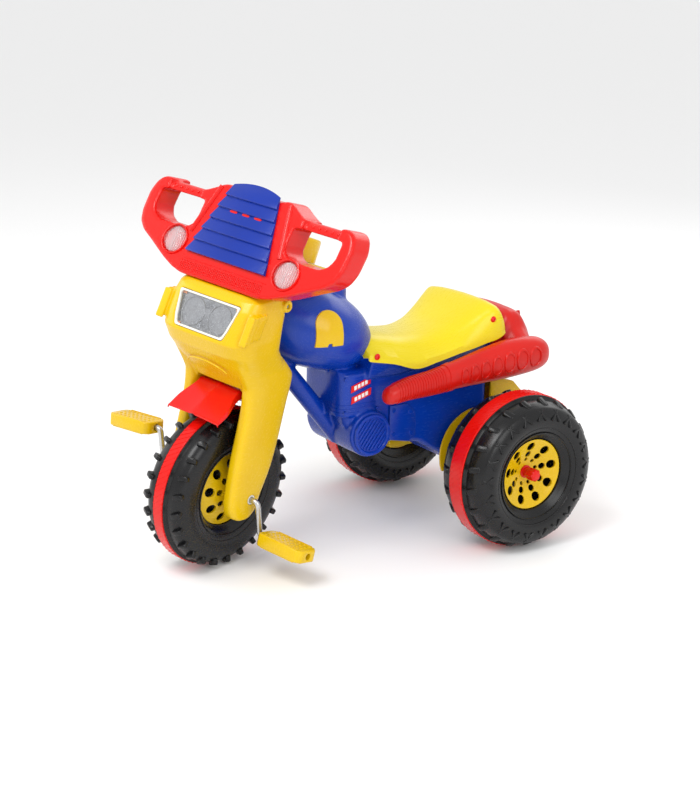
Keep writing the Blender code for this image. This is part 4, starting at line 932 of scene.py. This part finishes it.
tail_parts, tail_ribs = [], []
for side in (1, -1):
    tail_parts.append(skin("arm", [arm_ring(min(max(row[0], 0.015), 0.333), side) for row in ARM_ROWS]))
    for i in range(19):
        y = 0.036 + i * 0.0046
        tail_ribs.append(skin("rib", [arm_ring(y - 0.0015, side, -0.001), arm_ring(y - 0.0008, side, 0.0009),
                                      arm_ring(y + 0.0008, side, 0.0009),
                                      arm_ring(y + 0.0015, side, -0.001)]))
    tail_ribs.append(skin("band", [arm_ring(0.126, side, -0.001), arm_ring(0.1265, side, 0.0012),
                                    arm_ring(0.1365, side, 0.0012), arm_ring(0.137, side, -0.001)]))
cowl_rings = []
for x, high in eased([(-0.094, 0.313), (-0.080, 0.325), (-0.064, 0.347), (-0.030, 0.3515), (0.0, 0.3525),
                      (0.030, 0.3515),
                      (0.064, 0.347), (0.080, 0.325), (0.094, 0.313)], 6):
    high = min(high, 0.3528)
    front = 0.2475 if abs(x) < 0.07 else 0.266
    cowl_rings.append([(x, front, 0.262), (x, 0.318, 0.262), (x, 0.326, 0.268), (x, 0.329, 0.288),
                       (x, 0.322, high - 0.024),
                       (x, 0.315, high - 0.012), (x, 0.309, high - 0.004), (x, 0.301, high), (x, 0.289, high),
                       (x, 0.281, high - 0.003), (x, 0.268, high - 0.018), (x, front, 0.300)])
tail_parts.append(skin("cowl", cowl_rings))
for x in (-0.045, -0.015, 0.015, 0.045):
    rib = block("cowl rib", (0.004, 0.046, 0.060), (x, 0.3068, 0.3115), STAY, radians(6))
    tail_parts.append(bevelled(rib, 0.002))
tail = fused("tail", tail_parts, 0.0019, 3)
ovals = [tail] + tail_ribs
for side in (1, -1):
    y = 0.146
    for i in range(7):
        size = 0.0078 + i * 0.00085
        _, z, x, half_x, half_z = arm_at(y + size)
        ring_points = [(size * cos(t), (half_z * 0.60) * sin(t))
                       for t in [2 * pi * k / 28 for k in range(28)]]
        scale_in = 0.80
        bend = []
        for share, proud in ((1.0, -0.002), (1.0, 0.0006), (0.94, 0.0015), (scale_in, 0.0015),
                             (scale_in - 0.06, -0.0004)):
            ring = []
            for a, b in ring_points:
                a2, b2 = a * share, b * share
                across = half_x * max(0.0, 1 - abs(b2 / half_z) ** 2.2) ** (1 / 2.2)
                ring.append((side * (x + across + proud), y + size + a2, z + b2))
            bend.append(ring)
        ovals.append(skin("oval", bend, STAY, False))
        y += 2 * size + 0.0022
tail = merged("tail", ovals)
finish_piece(tail, "tail_blown", TAIL_RED, "body", "red_plastic", "tail_cowl", angle=45)

# %% [markdown]
# ## Fork and lamp housing
# The fork is the toy's face: two legs, a squared housing with a sloping lamp window, ribbed
# blocks at its sides and a round flange for the steering column. It is one injection
# moulding with soft corners, so its parts are fused at a fine voxel size and cut.

# %% Fork
def fork_leg(side):
    stations = [(0.345, -0.262, -0.176), (0.312, -0.242, -0.146), (0.296, -0.238, -0.142),
                (0.262, -0.240, -0.151),
                (0.203, -0.252, -0.165), (0.165, -0.258, -0.177), (0.125, -0.262, -0.197),
                (0.104, -0.258, -0.207),
                (0.096, -0.248, -0.222)]
    rings = []
    for z, front_y, rear_y in eased(stations, 4):
        slope = 0.35 * (z - 0.10)
        rings.append([(side * (0.05875 + a), (front_y + rear_y) / 2 + b, z + slope * b)
                      for a, b in rounded_rect(0.0142, (rear_y - front_y) / 2, 32, 3.2)])
    return skin("leg", rings)


def housing():
    stations = [(0.292, -0.232, -0.142, 0.067), (0.312, -0.243, -0.142, 0.071),
                (0.335, -0.262, -0.160, 0.076),
                (0.356, -0.277, -0.176, 0.081), (0.378, -0.286, -0.176, 0.084),
                (0.398, -0.279, -0.174, 0.084),
                (0.425, -0.266, -0.170, 0.083), (0.438, -0.257, -0.166, 0.081),
                (0.4448, -0.248, -0.160, 0.076)]
    rings = []
    for z, front_y, rear_y, half in stations:
        rings.append([(a, (front_y + rear_y) / 2 + b, z) for a,
                      b in rounded_rect(half, (rear_y - front_y) / 2, 48, 4.5)])
    return skin("housing", rings)


WINDOW_SLOPE = radians(26.0)
WINDOW_UP = Vector((0.0, sin(WINDOW_SLOPE), cos(WINDOW_SLOPE)))
WINDOW_IN = Vector((0.0, cos(WINDOW_SLOPE), -sin(WINDOW_SLOPE)))
WINDOW = Matrix(((1, 0, 0, 0), (0, WINDOW_UP.y, WINDOW_IN.y, -0.2835), (0, WINDOW_UP.z, WINDOW_IN.z, 0.383),
                 (0, 0, 0, 1)))


def window_outline(grow=0.0, count=5):
    """The window: across and up its slope, wider at the top, with rounded corners."""
    corners = [(-0.047, 0), (0.047, 0), (0.053, 0.016), (0.060, 0.054), (-0.060, 0.054), (-0.053, 0.016)]
    middle = Vector((0, 0.027))
    points = []
    for i, corner in enumerate(corners):
        here = Vector(corner)
        here = here + Vector((grow if here.x > 0 else -grow, grow if here.y > 0.027 else -grow))
        before, after = Vector(corners[i - 1]), Vector(corners[(i + 1) % 6])
        start = here + (before - here).normalized() * 0.004
        end = here + (after - here).normalized() * 0.004
        points += [start.lerp(here, k / count).lerp(here.lerp(end, k / count),
                                                    k / count) for k in range(count + 1)]
    return [(p.x, p.y) for p in points]


forward = Vector((0.0, -cos(RAKE), sin(RAKE)))
web_low, web_high = axis_point(0.405), axis_point(0.4615) + STEER_AXIS * 0.006
web_middle = (web_low + web_high) / 2 + forward * (0.063 + 0.0035)
parts = [housing(), fork_leg(1), fork_leg(-1),
         rod("flange", 0.0678, 0.0002, 0.0058, 96, STAY, STEER_AXIS, axis_point(0.4615), 0.001),
         block("web", (0.090, 0.008, (web_high - web_low).length), web_middle, STAY, -RAKE)]
for side in (1, -1):
    parts.append(rod("ear", 0.0092, -0.0098, 0.0098, 40, STAY, (1, 0, 0), (side * 0.0785, -0.189, 0.427),
                     0.001))
    for i in range(5):
        rib = block("rib block", (0.0130, 0.0048, 0.045 - 0.002 * i),
                    (side * (0.0836 - 0.0005 * i), -0.2700 + i * 0.0076, 0.4035 + 0.0005 * i), STAY, -0.44)
        parts.append(rib)
room = axis_point(0.4615) - axis_point(0.322)
cutters = [rod("nose room", 0.063, -room.length / 2, room.length / 2, 64, STAY, STEER_AXIS,
               axis_point(0.39175)),
           rod("wheel room", WHEEL_R + 0.016, -0.0445, 0.0445, 96, STAY, (1, 0, 0), PIVOT),
           block("fender room", (0.089, 0.140, 0.060), (0, -0.195, 0.267)),
           prism("lamp hole", window_outline(0.0004), -0.030, 0.022, WINDOW),
           rod("axle hole", 0.0077, -0.15, 0.15, 32, STAY, (1, 0, 0), PIVOT)]
for side in (1, -1):
    cutters.append(rod("ear hole", 0.0036, -0.006, 0.006, 24, STAY, (1, 0, 0),
                       (side * 0.0885, -0.189, 0.427)))
fork = fused("fork", parts, 0.0014, 3, cutters)
print("fork", len(fork.data.polygons), "faces")

# %% Raised lines on the fork
lines = [fork]
arch = [Vector((0.040 * sin(t), -0.2515 + 0.0085 * (1 - cos(t)) * -1.2, 0.322 + 0.016 * cos(t)))
        for t in [radians(-78 + 156 * i / 24) for i in range(25)]]
lines.append(bar_along("arch line", [Vector((p.x, -0.2475 - (p.z - 0.312) * 0.82, p.z)) for p in arch],
                       0.0012, STAY, 10))
fork = merged("fork", lines)
placed(fork, FRONT)
finish_piece(fork, "fork_moulding", YELLOW, "front", "yellow_plastic", "fork", angle=60)

# %% [markdown]
# ## Headlamp
# Behind a clear cover lies a metallised plate with two round bowls. Fine rings are
# moulded round each bowl and a starburst of thin ridges fans out between them. Both are
# one ring and one ridge, repeated.

# %% Lamp reflector and cover
plate = prism("plate", window_outline(-0.0008), 0.006, 0.020, WINDOW)
bowls = []
for side in (1, -1):
    bowl = [(0.00001, 0.0165)] + [(0.0212 * sin(t), 0.0165 - 0.0120 * (1 - cos(t)) ** 0.9) for t in
                                  [radians(90) * i / 12 for i in range(1, 13)]] + [(0.0212, -0.004),
                                          (0.00001, -0.004)]
    bowls.append(placed(turned("bowl", bowl, 64, STAY, (0, 0, 1)),
                        WINDOW @ Matrix.Translation((side * 0.0262, 0.027, 0))))
boolean(plate, "DIFFERENCE", *bowls)
lamp_parts = [plate]
for side in (1, -1):
    middle = WINDOW @ Matrix.Translation((side * 0.0262, 0.027, 0))
    for radius in (0.0215, 0.0190, 0.0165, 0.0140, 0.0115, 0.0090, 0.0065):
        depth = 0.0165 - 0.0120 * (1 - cos(atan2(radius, sqrt(max(1e-9,
                0.0212 ** 2 - min(radius, 0.0211) ** 2))))) ** 0.9
        bead = [(radius + 0.0007 * cos(t),
                 depth - 0.0002 + 0.0007 * sin(t)) for t in [2 * pi * i / 6 for i in range(6)]]
        lamp_parts.append(placed(turned("ring", bead, 48, STAY, (0, 0, 1)), middle))
    bulb = [(0.00001, 0.0070), (0.0020, 0.0078), (0.0032, 0.0100), (0.0034, 0.0160), (0.00001, 0.0160)]
    lamp_parts.append(placed(turned("bulb", bulb, 32, STAY, (0, 0, 1)), middle))
ray = block("ray", (0.0006, 0.020, 0.0008), (0, 0.015, 0.0058))
fan = repeated(ray, 25, (0, 0, radians(7.5)))
placed(fan, WINDOW @ Matrix.Translation((0, 0.001, 0)) @ Matrix.Rotation(radians(-90), 4, "Z"))
lamp_parts.append(fan)
fan = repeated(block("ray", (0.0006, 0.014, 0.0008), (0, 0.010, 0.0058)), 13, (0, 0, radians(7.5)))
placed(fan, WINDOW @ Matrix.Translation((0, 0.053, 0)) @ Matrix.Rotation(radians(135), 4, "Z"))
lamp_parts.append(fan)
lamp_piece = merged("lamp", lamp_parts)
placed(lamp_piece, FRONT)
finish_piece(lamp_piece, "lamp_bowls", CHROME, "front", "chrome_film", "lamp_reflector", angle=30)
for corner, (x, y) in enumerate(((-0.046, 0.0045), (0.046, 0.0045), (-0.054, 0.049), (0.054, 0.049))):
    mark = prism("mark", [(x - 0.004, y - 0.0016), (x + 0.004, y - 0.0016), (x + 0.004, y + 0.0016),
                          (x - 0.004, y + 0.0016)],
                 0.0048, 0.0056, FRONT @ WINDOW)
    finish_piece(mark, f"lamp_marker_{corner}", AMBER, "front", "chrome_film", angle=30)
cover = bevelled(prism("cover", window_outline(-0.0006), 0.0, 0.0022, FRONT @ WINDOW), 0.0006)
finish_piece(cover, "lamp_cover", CLEAR, "front", "clear_lens", "lamp_lens", angle=30)
rim_parts = boolean(prism("rim", window_outline(-0.0002), -0.0008, 0.0030, WINDOW), "DIFFERENCE",
                    prism("rim hole", window_outline(-0.0034), -0.004, 0.006, WINDOW))
bevelled(rim_parts, 0.0005)
finish_piece(placed(rim_parts, FRONT), "lamp_rim", NYLON, "front", "clear_lens", angle=30)

# %% [markdown]
# ## Fender
# The fender is a folded red strip with a ridge down its middle, a rolled front lip and
# soft side edges. Its cross sections are eased along its length and thickened.

# %% Fender
RIDGE = [(-0.146, 0.236, 0.040, 0.008), (-0.170, 0.262, 0.041, 0.009), (-0.200, 0.284, 0.041, 0.012),
         (-0.226, 0.2915, 0.041, 0.014), (-0.240, 0.285, 0.042, 0.013), (-0.262, 0.271, 0.0505, 0.008),
         (-0.283, 0.258, 0.0518, 0.004)]
rings = []
for y, z, half, drop in eased(RIDGE, 6):
    shares = [(1.0, -drop), (0.992, -0.55 * drop), (0.975, -0.0018), (0.95, -0.0008), (0.5, 0.0),
              (0.12, 0.0006), (0.0, 0.0022)]
    ring = [(half * a, y, z + b) for a, b in shares]
    rings.append(ring + [(-x, y, h) for x, y, h in ring[::-1][1:]])
lip = rings[-1]
rings.append([(x, y - 0.0012, z - 0.0006) for x, y, z in lip])
rings.append([(x, y - 0.0014, z - 0.0030) for x, y, z in lip])
fender = skin("fender", rings, STAY, False, False)
if max(fender.data.polygons, key=lambda p: p.center.z).normal.z < 0:
    fender.data.flip_normals()
wall = fender.modifiers.new("wall", "SOLIDIFY")
wall.thickness = 0.0024
wall.offset = -1.0
evaluated(fender)
finish_piece(placed(fender, FRONT), "fender_strip", RED, "front", "red_plastic", "fender", angle=28)

# %% [markdown]
# ## Handlebar
# The handlebar is one wide red moulding: a plate that leans back, with a hand hole and a
# round grip at each side and a round lamp below each hole. Two ridges frame the louvred
# shield, and a strip of small dots lies under it. The plate and grips are fused so that they
# melt together, then the holes and lamp seats are cut; the bumps and ridges are added after.

# %% Handlebar moulding
BAR = Matrix(((1, 0, 0, 0), (0, sin(BAR_LEAN), cos(BAR_DROP), BAR_ORIGIN.y),
              (0, cos(BAR_LEAN), -sin(BAR_DROP), BAR_ORIGIN.z),
              (0, 0, 0, 1)))
OUT = Vector((0, -cos(BAR_LEAN), sin(BAR_LEAN)))
FACE = Matrix(((1, 0, 0, 0), (0, sin(BAR_LEAN), OUT.y, BAR_ORIGIN.y),
               (0, cos(BAR_LEAN), OUT.z, BAR_ORIGIN.z), (0, 0, 0, 1)))


def bar_point(x, up, behind=0.0):
    return Vector((x, BAR_ORIGIN.y + up * sin(BAR_LEAN) + behind * cos(BAR_LEAN),
                   BAR_ORIGIN.z + up * cos(BAR_LEAN) - behind * sin(BAR_LEAN)))


def softened(outline, reach=0.006, count=4):
    """Round every corner of a flat outline."""
    points = []
    for i, corner in enumerate(outline):
        here, before, after = Vector(corner), Vector(outline[i - 1]), Vector(outline[(i + 1) % len(outline)])
        start = here + (before - here) * min(0.45, reach / max((before - here).length, 1e-6))
        end = here + (after - here) * min(0.45, reach / max((after - here).length, 1e-6))
        points += [start.lerp(here, k / count).lerp(here.lerp(end, k / count),
                                                    k / count) for k in range(count + 1)]
    return [(p.x, p.y) for p in points]


half = [(0.078, -0.046), (0.098, -0.041), (0.120, -0.032), (0.157, -0.013), (0.180, -0.002), (0.193, 0.010),
        (0.199, 0.028),
        (0.200, 0.060), (0.194, 0.078), (0.184, 0.087), (0.170, 0.088), (0.162, 0.084), (0.098, 0.084),
        (0.082, 0.092),
        (0.066, 0.101), (0.056, 0.102), (0.046, 0.098)]
plate_outline = softened(half + [(-x, s) for x, s in half[::-1]])
inner_outline = [(x * 0.985, 0.027 + (s - 0.027) * 0.955) for x, s in plate_outline]
plate = skin("bar", [[(x, s, 0.0002) for x, s in inner_outline],
                     [(x * 0.995, 0.027 + (s - 0.027) * 0.985, 0.0012)
             for x, s in plate_outline], [(x, s, 0.005) for x, s in plate_outline],
                     [(x, s, 0.040) for x, s in plate_outline],
             [(x, s, 0.0445) for x, s in inner_outline]], BAR)
hole = softened([(0.094, 0.027), (0.108, 0.021), (0.158, 0.021), (0.171, 0.028), (0.178, 0.040),
                 (0.178, 0.069),
                 (0.088, 0.069), (0.088, 0.037)], 0.005)
for side in (1, -1):
    low, high = sorted((side * 0.101, side * 0.167))
    boolean(plate, "DIFFERENCE", prism("grip room", [(low, 0.058), (high, 0.058), (high, 0.110),
                                                     (low, 0.110)], -0.02, 0.07, BAR))
bar_parts, bar_cuts, bar_marks = [plate], [], []
for side in (1, -1):
    middle = bar_point(side * 0.133, 0.0745, 0.021)
    grip_profile = [(0.00001, -0.052), (0.0142, -0.052), (0.0142, 0.040), (0.0150, 0.0412), (0.0150, 0.0455),
                    (0.0142, 0.0468),
                    (0.0142, 0.052), (0.00001, 0.052)]
    bar_parts.append(turned("grip", [(r, side * h) for r, h in grip_profile], 64, STAY, (1, 0, 0), middle))
    for i in range(6):
        along = side * (0.102 + i * 0.0118)
        way = Vector((0, -cos(radians(50)), sin(radians(50))))
        bump = rod("bump", 0.0026, 0.011, 0.0157, 16, STAY, way, Vector((along, middle.y, middle.z)), 0.0008)
        bar_marks.append(bump)
    ridge = [bar_point(side * (0.0885 - 0.0205 * t), 0.019 + 0.078 * t,
                       0.0016) for t in [i / 16 for i in range(17)]]
    bar_marks.append(bar_along("ridge", ridge, 0.0045, STAY, 20))
    bar_cuts.append(prism("hand hole", [(side * x, s) for x, s in hole], -0.020, 0.070, BAR))
    bar_cuts.append(rod("lamp seat", 0.0214, -0.006, 0.006, 64, STAY, OUT, bar_point(side * 0.1105, 0)))
    ring = [(0.0212, 0.0000), (0.0246, 0.0000), (0.0250, 0.0008), (0.0240, 0.0020), (0.0222, 0.0020),
            (0.0212, 0.0010)]
bar_cuts.append(block("trim", (0.180, 0.120, 0.060), (0, -0.210, 0.4454 - 0.030)))
bar_cuts.append(block("web room", (0.096, 0.060, 0.080),
                      axis_point(0.452) + forward * (0.063 + 0.009 - 0.030), STAY, -RAKE))
bar = fused("bar", bar_parts, 0.0016, 10, bar_cuts)
print("handlebar", len(bar.data.polygons), "faces")
details = [bar] + bar_marks
dot = rod("dot", 0.0010, -0.0005, 0.0009, 8, STAY, (0, 0, 1), ease=0.0004)
row = repeated(placed(dot, Matrix.Translation((-0.080, -0.0375, 0))), 48, step=(0.0034, 0, 0))
details.append(placed(repeated(row, 5, step=(0, 0.0030, 0)), FACE))
for up in (-0.0415, -0.0215):
    line = [bar_point(-0.084 + 0.168 * i / 8, up, 0.0003) for i in range(9)]
    details.append(bar_along("strip edge", line, 0.0008, STAY, 8))
for side in (1, -1):
    bezel = [(0.0214, -0.0005), (0.0214, 0.0016), (0.0222, 0.0024), (0.0236, 0.0020), (0.0242, -0.0005)]
    details.append(turned("bezel", bezel, 72, STAY, OUT, bar_point(side * 0.1105, 0)))
handlebar = merged("handlebar", details)
finish_piece(placed(handlebar, FRONT), "handlebar_moulding", RED, "front", "red_plastic", "handlebar",
             angle=55)

# %% [markdown]
# ## Side lamps on the bar
# Each lamp is a clear dome over the red bar, with fine upright ribs moulded inside. The
# ribs are thin bars under the dome, cut to a circle by their own lengths.

# %% Bar lamps
for side, word in ((1, "left"), (-1, "right")):
    centre = bar_point(side * 0.1105, 0, 0.0028)
    dome = [(0.00001, 0.0108), (0.0074, 0.0100), (0.0143, 0.0076), (0.0190, 0.0045), (0.0207, 0.0015),
            (0.0208, -0.0018),
            (0.0198, -0.0018), (0.0182, 0.0030), (0.0138, 0.0060), (0.0072, 0.0083), (0.00001, 0.0090)]
    lens = turned("lens", dome, 72, STAY, OUT, centre)
    finish_piece(placed(lens, FRONT), f"bar_lamp_dome_{word}", CLEAR, "front", "clear_lens",
                 f"bar_lens_{word}", angle=60)
    ribs = []
    stand = FACE @ Matrix.Translation((side * 0.1105, 0, 0))
    for i in range(11):
        x = (i - 5) * 0.0034
        span = sqrt(0.0192 ** 2 - x * x)
        rise = 0.0048 - 0.22 * abs(x)
        ribs.append(bevelled(block("rib", (0.0012, 2 * span, rise), (x, 0, -0.0032 + rise / 2), STAY),
                             0.0004))
    insert = placed(merged("insert", ribs), FRONT @ stand)
    finish_piece(insert, f"bar_lamp_ribs_{word}", RIBBED, "front", "clear_lens", angle=30)

# %% [markdown]
# ## Shield
# Six blue slats step up the middle of the handlebar like a radiator louvre, each a thin
# wedge with a rounded lip. The stepped side profile is extruded across and cut to the
# tapered, arched outline. Three red slots show where the second slat from
# the top meets the third.

# %% Shield
pitch = 0.115 / 6
profile = [(-0.011, 0.0)]
for i in range(6):
    base = -0.011 + i * pitch
    profile += [(base + 0.0002, 0.0050), (base + 0.0012, 0.0060), (base + 0.0026, 0.0059),
                (base + pitch - 0.0004, 0.0016)]
profile[-1] = (0.112, 0.0012)
profile.append((0.112, 0.0))
cross = Matrix(((0, 0, 1, 0), (sin(BAR_LEAN), OUT.y, 0, BAR_ORIGIN.y),
                (cos(BAR_LEAN), OUT.z, 0, BAR_ORIGIN.z), (0, 0, 0, 1)))
shield = prism("shield", [(a, b + 0.0004) for a, b in profile], -0.09, 0.09, cross)
crown = [(0.045 - 0.09 * i / 24, 0.104 + 0.0078 * (1 - (1 - i / 12) ** 2)) for i in range(25)]
outline = prism("outline", [(-0.079, -0.012), (0.079, -0.012)] + crown, -0.04, 0.04, FACE)
boolean(shield, "INTERSECT", outline)
bevelled(shield, 0.0007, 50, 2)
finish_piece(placed(shield, FRONT), "shield_louvres", SHIELD_BLUE, "front", "blue_plastic", "shield",
             angle=30)
slots = []
for x in (-0.024, 0.0, 0.024):
    slots.append(prism("slot", [(x + a, 0.0637 + b) for a, b in rounded_rect(0.0070, 0.0017, 20, 3.0)],
                       0.0010, 0.0032, FACE))
finish_piece(placed(merged("slots", slots), FRONT), "shield_slots", RED, "front", "red_plastic", angle=30)

# %% [markdown]
# ## Steering column
# Under the shield stands the steering bolt with its nut, hidden by a yellow cap. The cap
# has a rolled foot and a shallow dished top, like a pot lid.

# %% Column cap, bolt and nut
foot = axis_point(0.4615) + STEER_AXIS * 0.0064
cap = [(0.00001, 0.0352), (0.0300, 0.0352), (0.0330, 0.0360), (0.0385, 0.0360), (0.0412, 0.0352),
       (0.0426, 0.0330), (0.0430, 0.0300),
       (0.0430, 0.0020), (0.0430, 0.0), (0.0405, 0.0), (0.0405, 0.0320), (0.0300, 0.0330), (0.00001, 0.0330)]
finish_piece(turned("cap", cap, 96, FRONT, STEER_AXIS, foot), "column_lid", YELLOW, "front", "yellow_plastic",
             "column_cap", angle=30)
for node, name, material in (("steering_bolt", "bolt_plated", ZINC), ("steering_nut", "nut_plated", ZINC)):
    finish_piece(bevelled(copy_of(node), 0.0004), name, material, "front", "zinc_steel", node, angle=30)

# %% [markdown]
# ## Screws
# A pan-head screw in each ear holds the handlebar. Its head is a small dome with a cross
# recess.

# %% Handlebar screws
for side, word in ((1, "left"), (-1, "right")):
    at = Vector((side * 0.083, -0.189, 0.427))
    head = [(0.00001, 0.0029), (0.0018, 0.0028), (0.0029, 0.0020), (0.0031, 0.0008), (0.0031, 0.0),
            (0.0016, 0.0),
            (0.0016, -0.012), (0.00001, -0.012)]
    screw = turned("screw", [(r, side * h) for r, h in head], 40, STAY, (1, 0, 0), at)
    for size in ((0.002, 0.0006, 0.0036), (0.002, 0.0036, 0.0006)):
        boolean(screw, "DIFFERENCE", block("recess", size, at + Vector((side * 0.0031, 0, 0))))
    finish_piece(placed(screw, FRONT), f"ear_screw_{word}", ZINC, "front", "zinc_steel", f"bar_screw_{word}",
                 angle=30)

# %% [markdown]
# ## Axle carrier and small parts
# The yellow carrier holds the rear axle in two round cheeks joined by a slotted deck. Its
# edges are eased with a bevel, and raised rings stiffen the cheeks. The bushes, washers,
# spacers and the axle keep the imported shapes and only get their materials.

# %% Carrier and carried-over nodes
carrier = bevelled(copy_of("axle_carrier"), 0.0008, 40, 2)
rings = [carrier]
for side in (1, -1):
    for radius in (0.030, 0.052):
        bead = [(radius + 0.0013 * cos(t), side * (0.0735 - 0.0006) + 0.0010 * sin(t)) for t in
                [2 * pi * i / 8 for i in range(8)]]
        ring = turned("ring", [(r, h - side * 0.0004) for r, h in bead], 72, STAY, (1, 0, 0),
                      (0, REAR_Y, WHEEL_R))
        boolean(ring, "INTERSECT", block("keep", (0.3, 0.2, 0.2), (0, REAR_Y, 0.2012)))
        rings.append(ring)
finish_piece(merged("carrier", rings), "carrier_moulding", YELLOW, "body", "yellow_plastic", "axle_carrier",
             angle=30)
kept = {"rear_axle": ZINC, "rear_washer_left": ZINC, "rear_washer_right": ZINC, "axle_spacer_left": BLACK,
        "axle_spacer_right": BLACK, "fork_bush_left": NYLON, "fork_bush_right": NYLON,
        "head_bush_lower": NYLON,
        "head_bush_upper": NYLON, "rear_bush_left": NYLON, "rear_bush_right": NYLON}
for node, material in kept.items():
    data = frame["nodes"][node].data
    for index in range(len(data.materials)):
        data.materials[index] = material
    if not data.materials:
        data.materials.append(material)
print("carried over:", len(kept), "nodes")

# %% [markdown]
# ## Floor, light and camera
# The toy stands on a pale floor in soft studio light: a broad lamp overhead in front, a
# fill from each side, a lamp behind and a bright pale surround. The camera looks down a little from the front
# left at about two and a half metres, through a long lens.

# %% Floor and lights
floor_material, floor_tree, floor_shader = blank("matt white paper")
grain_place = add(floor_tree, "ShaderNodeTexCoord")
grain = add(floor_tree, "ShaderNodeTexNoise", {"Vector": (grain_place, "Object")},
            {"Scale": 400.0, "Detail": 3.0})
grain_bump = add(floor_tree, "ShaderNodeBump", {"Height": (grain, "Fac")},
                 {"Strength": 0.05, "Distance": 0.0003})
floor_tree.links.new(grain_bump.outputs["Normal"], floor_shader.inputs["Normal"])
floor_shader.inputs["Base Color"].default_value = linear("#F4F4F4")
floor_shader.inputs["Roughness"].default_value = 0.75
floor_shader.inputs["Specular IOR Level"].default_value = 0.2
floor = shape("floor", [(-45, -45, -0.0003), (45, -45, -0.0003), (45, 45, -0.0003), (-45, 45, -0.0003)],
              [(0, 1, 2, 3)])
if floor.data.polygons[0].normal.z < 0:
    floor.data.flip_normals()
floor.data.materials.append(floor_material)


def lamp(name, place, size, watts, aim=(0, 0, 0.25)):
    data = bpy.data.lights.new(name, "AREA")
    data.shape = "RECTANGLE"
    data.size, data.size_y = size
    data.energy = watts
    item = bpy.data.objects.new(name, data)
    item.location = place
    item.rotation_euler = (Vector(aim) - Vector(place)).to_track_quat("-Z", "Y").to_euler()
    bpy.context.scene.collection.objects.link(item)
    return item


lamp("key", (0.6, -1.6, 2.4), (1.3, 1.0), 38.0)
lamp("left_fill", (2.4, -0.2, 1.3), (1.2, 1.4), 16.0)
lamp("right_fill", (-2.0, -1.6, 1.2), (1.4, 1.4), 10.0)
lamp("back", (-0.8, 2.4, 1.8), (2.0, 1.2), 12.0)
world = bpy.data.worlds.new("pale surround")
bpy.context.scene.world = world
world.use_nodes = True
world.node_tree.nodes["Background"].inputs["Color"].default_value = linear("#F7F7F7")
world.node_tree.nodes["Background"].inputs["Strength"].default_value = 1.0
bpy.context.scene.view_settings.view_transform = "Standard"

# %% Camera
azimuth, elevation, roll, distance = radians(55.5861), radians(16.6594), radians(1.0974), 2.5088
target = Vector((0.0, 0.0207, 0.2222))
back = Vector((sin(azimuth) * cos(elevation), -cos(azimuth) * cos(elevation), sin(elevation)))
across = Vector((cos(azimuth), sin(azimuth), 0.0))
above = back.cross(across)
turned_across = across * cos(roll) + above * sin(roll)
turned_above = above * cos(roll) - across * sin(roll)
camera_data = bpy.data.cameras.new("camera")
camera_data.sensor_width = 36.0
camera_data.lens = 70.97
camera = bpy.data.objects.new("camera", camera_data)
camera.matrix_world = Matrix((turned_across, turned_above, back)).transposed().to_4x4()
camera.location = target + back * distance
bpy.context.scene.collection.objects.link(camera)
bpy.context.scene.camera = camera
print("camera at", [round(c, 3) for c in camera.location])
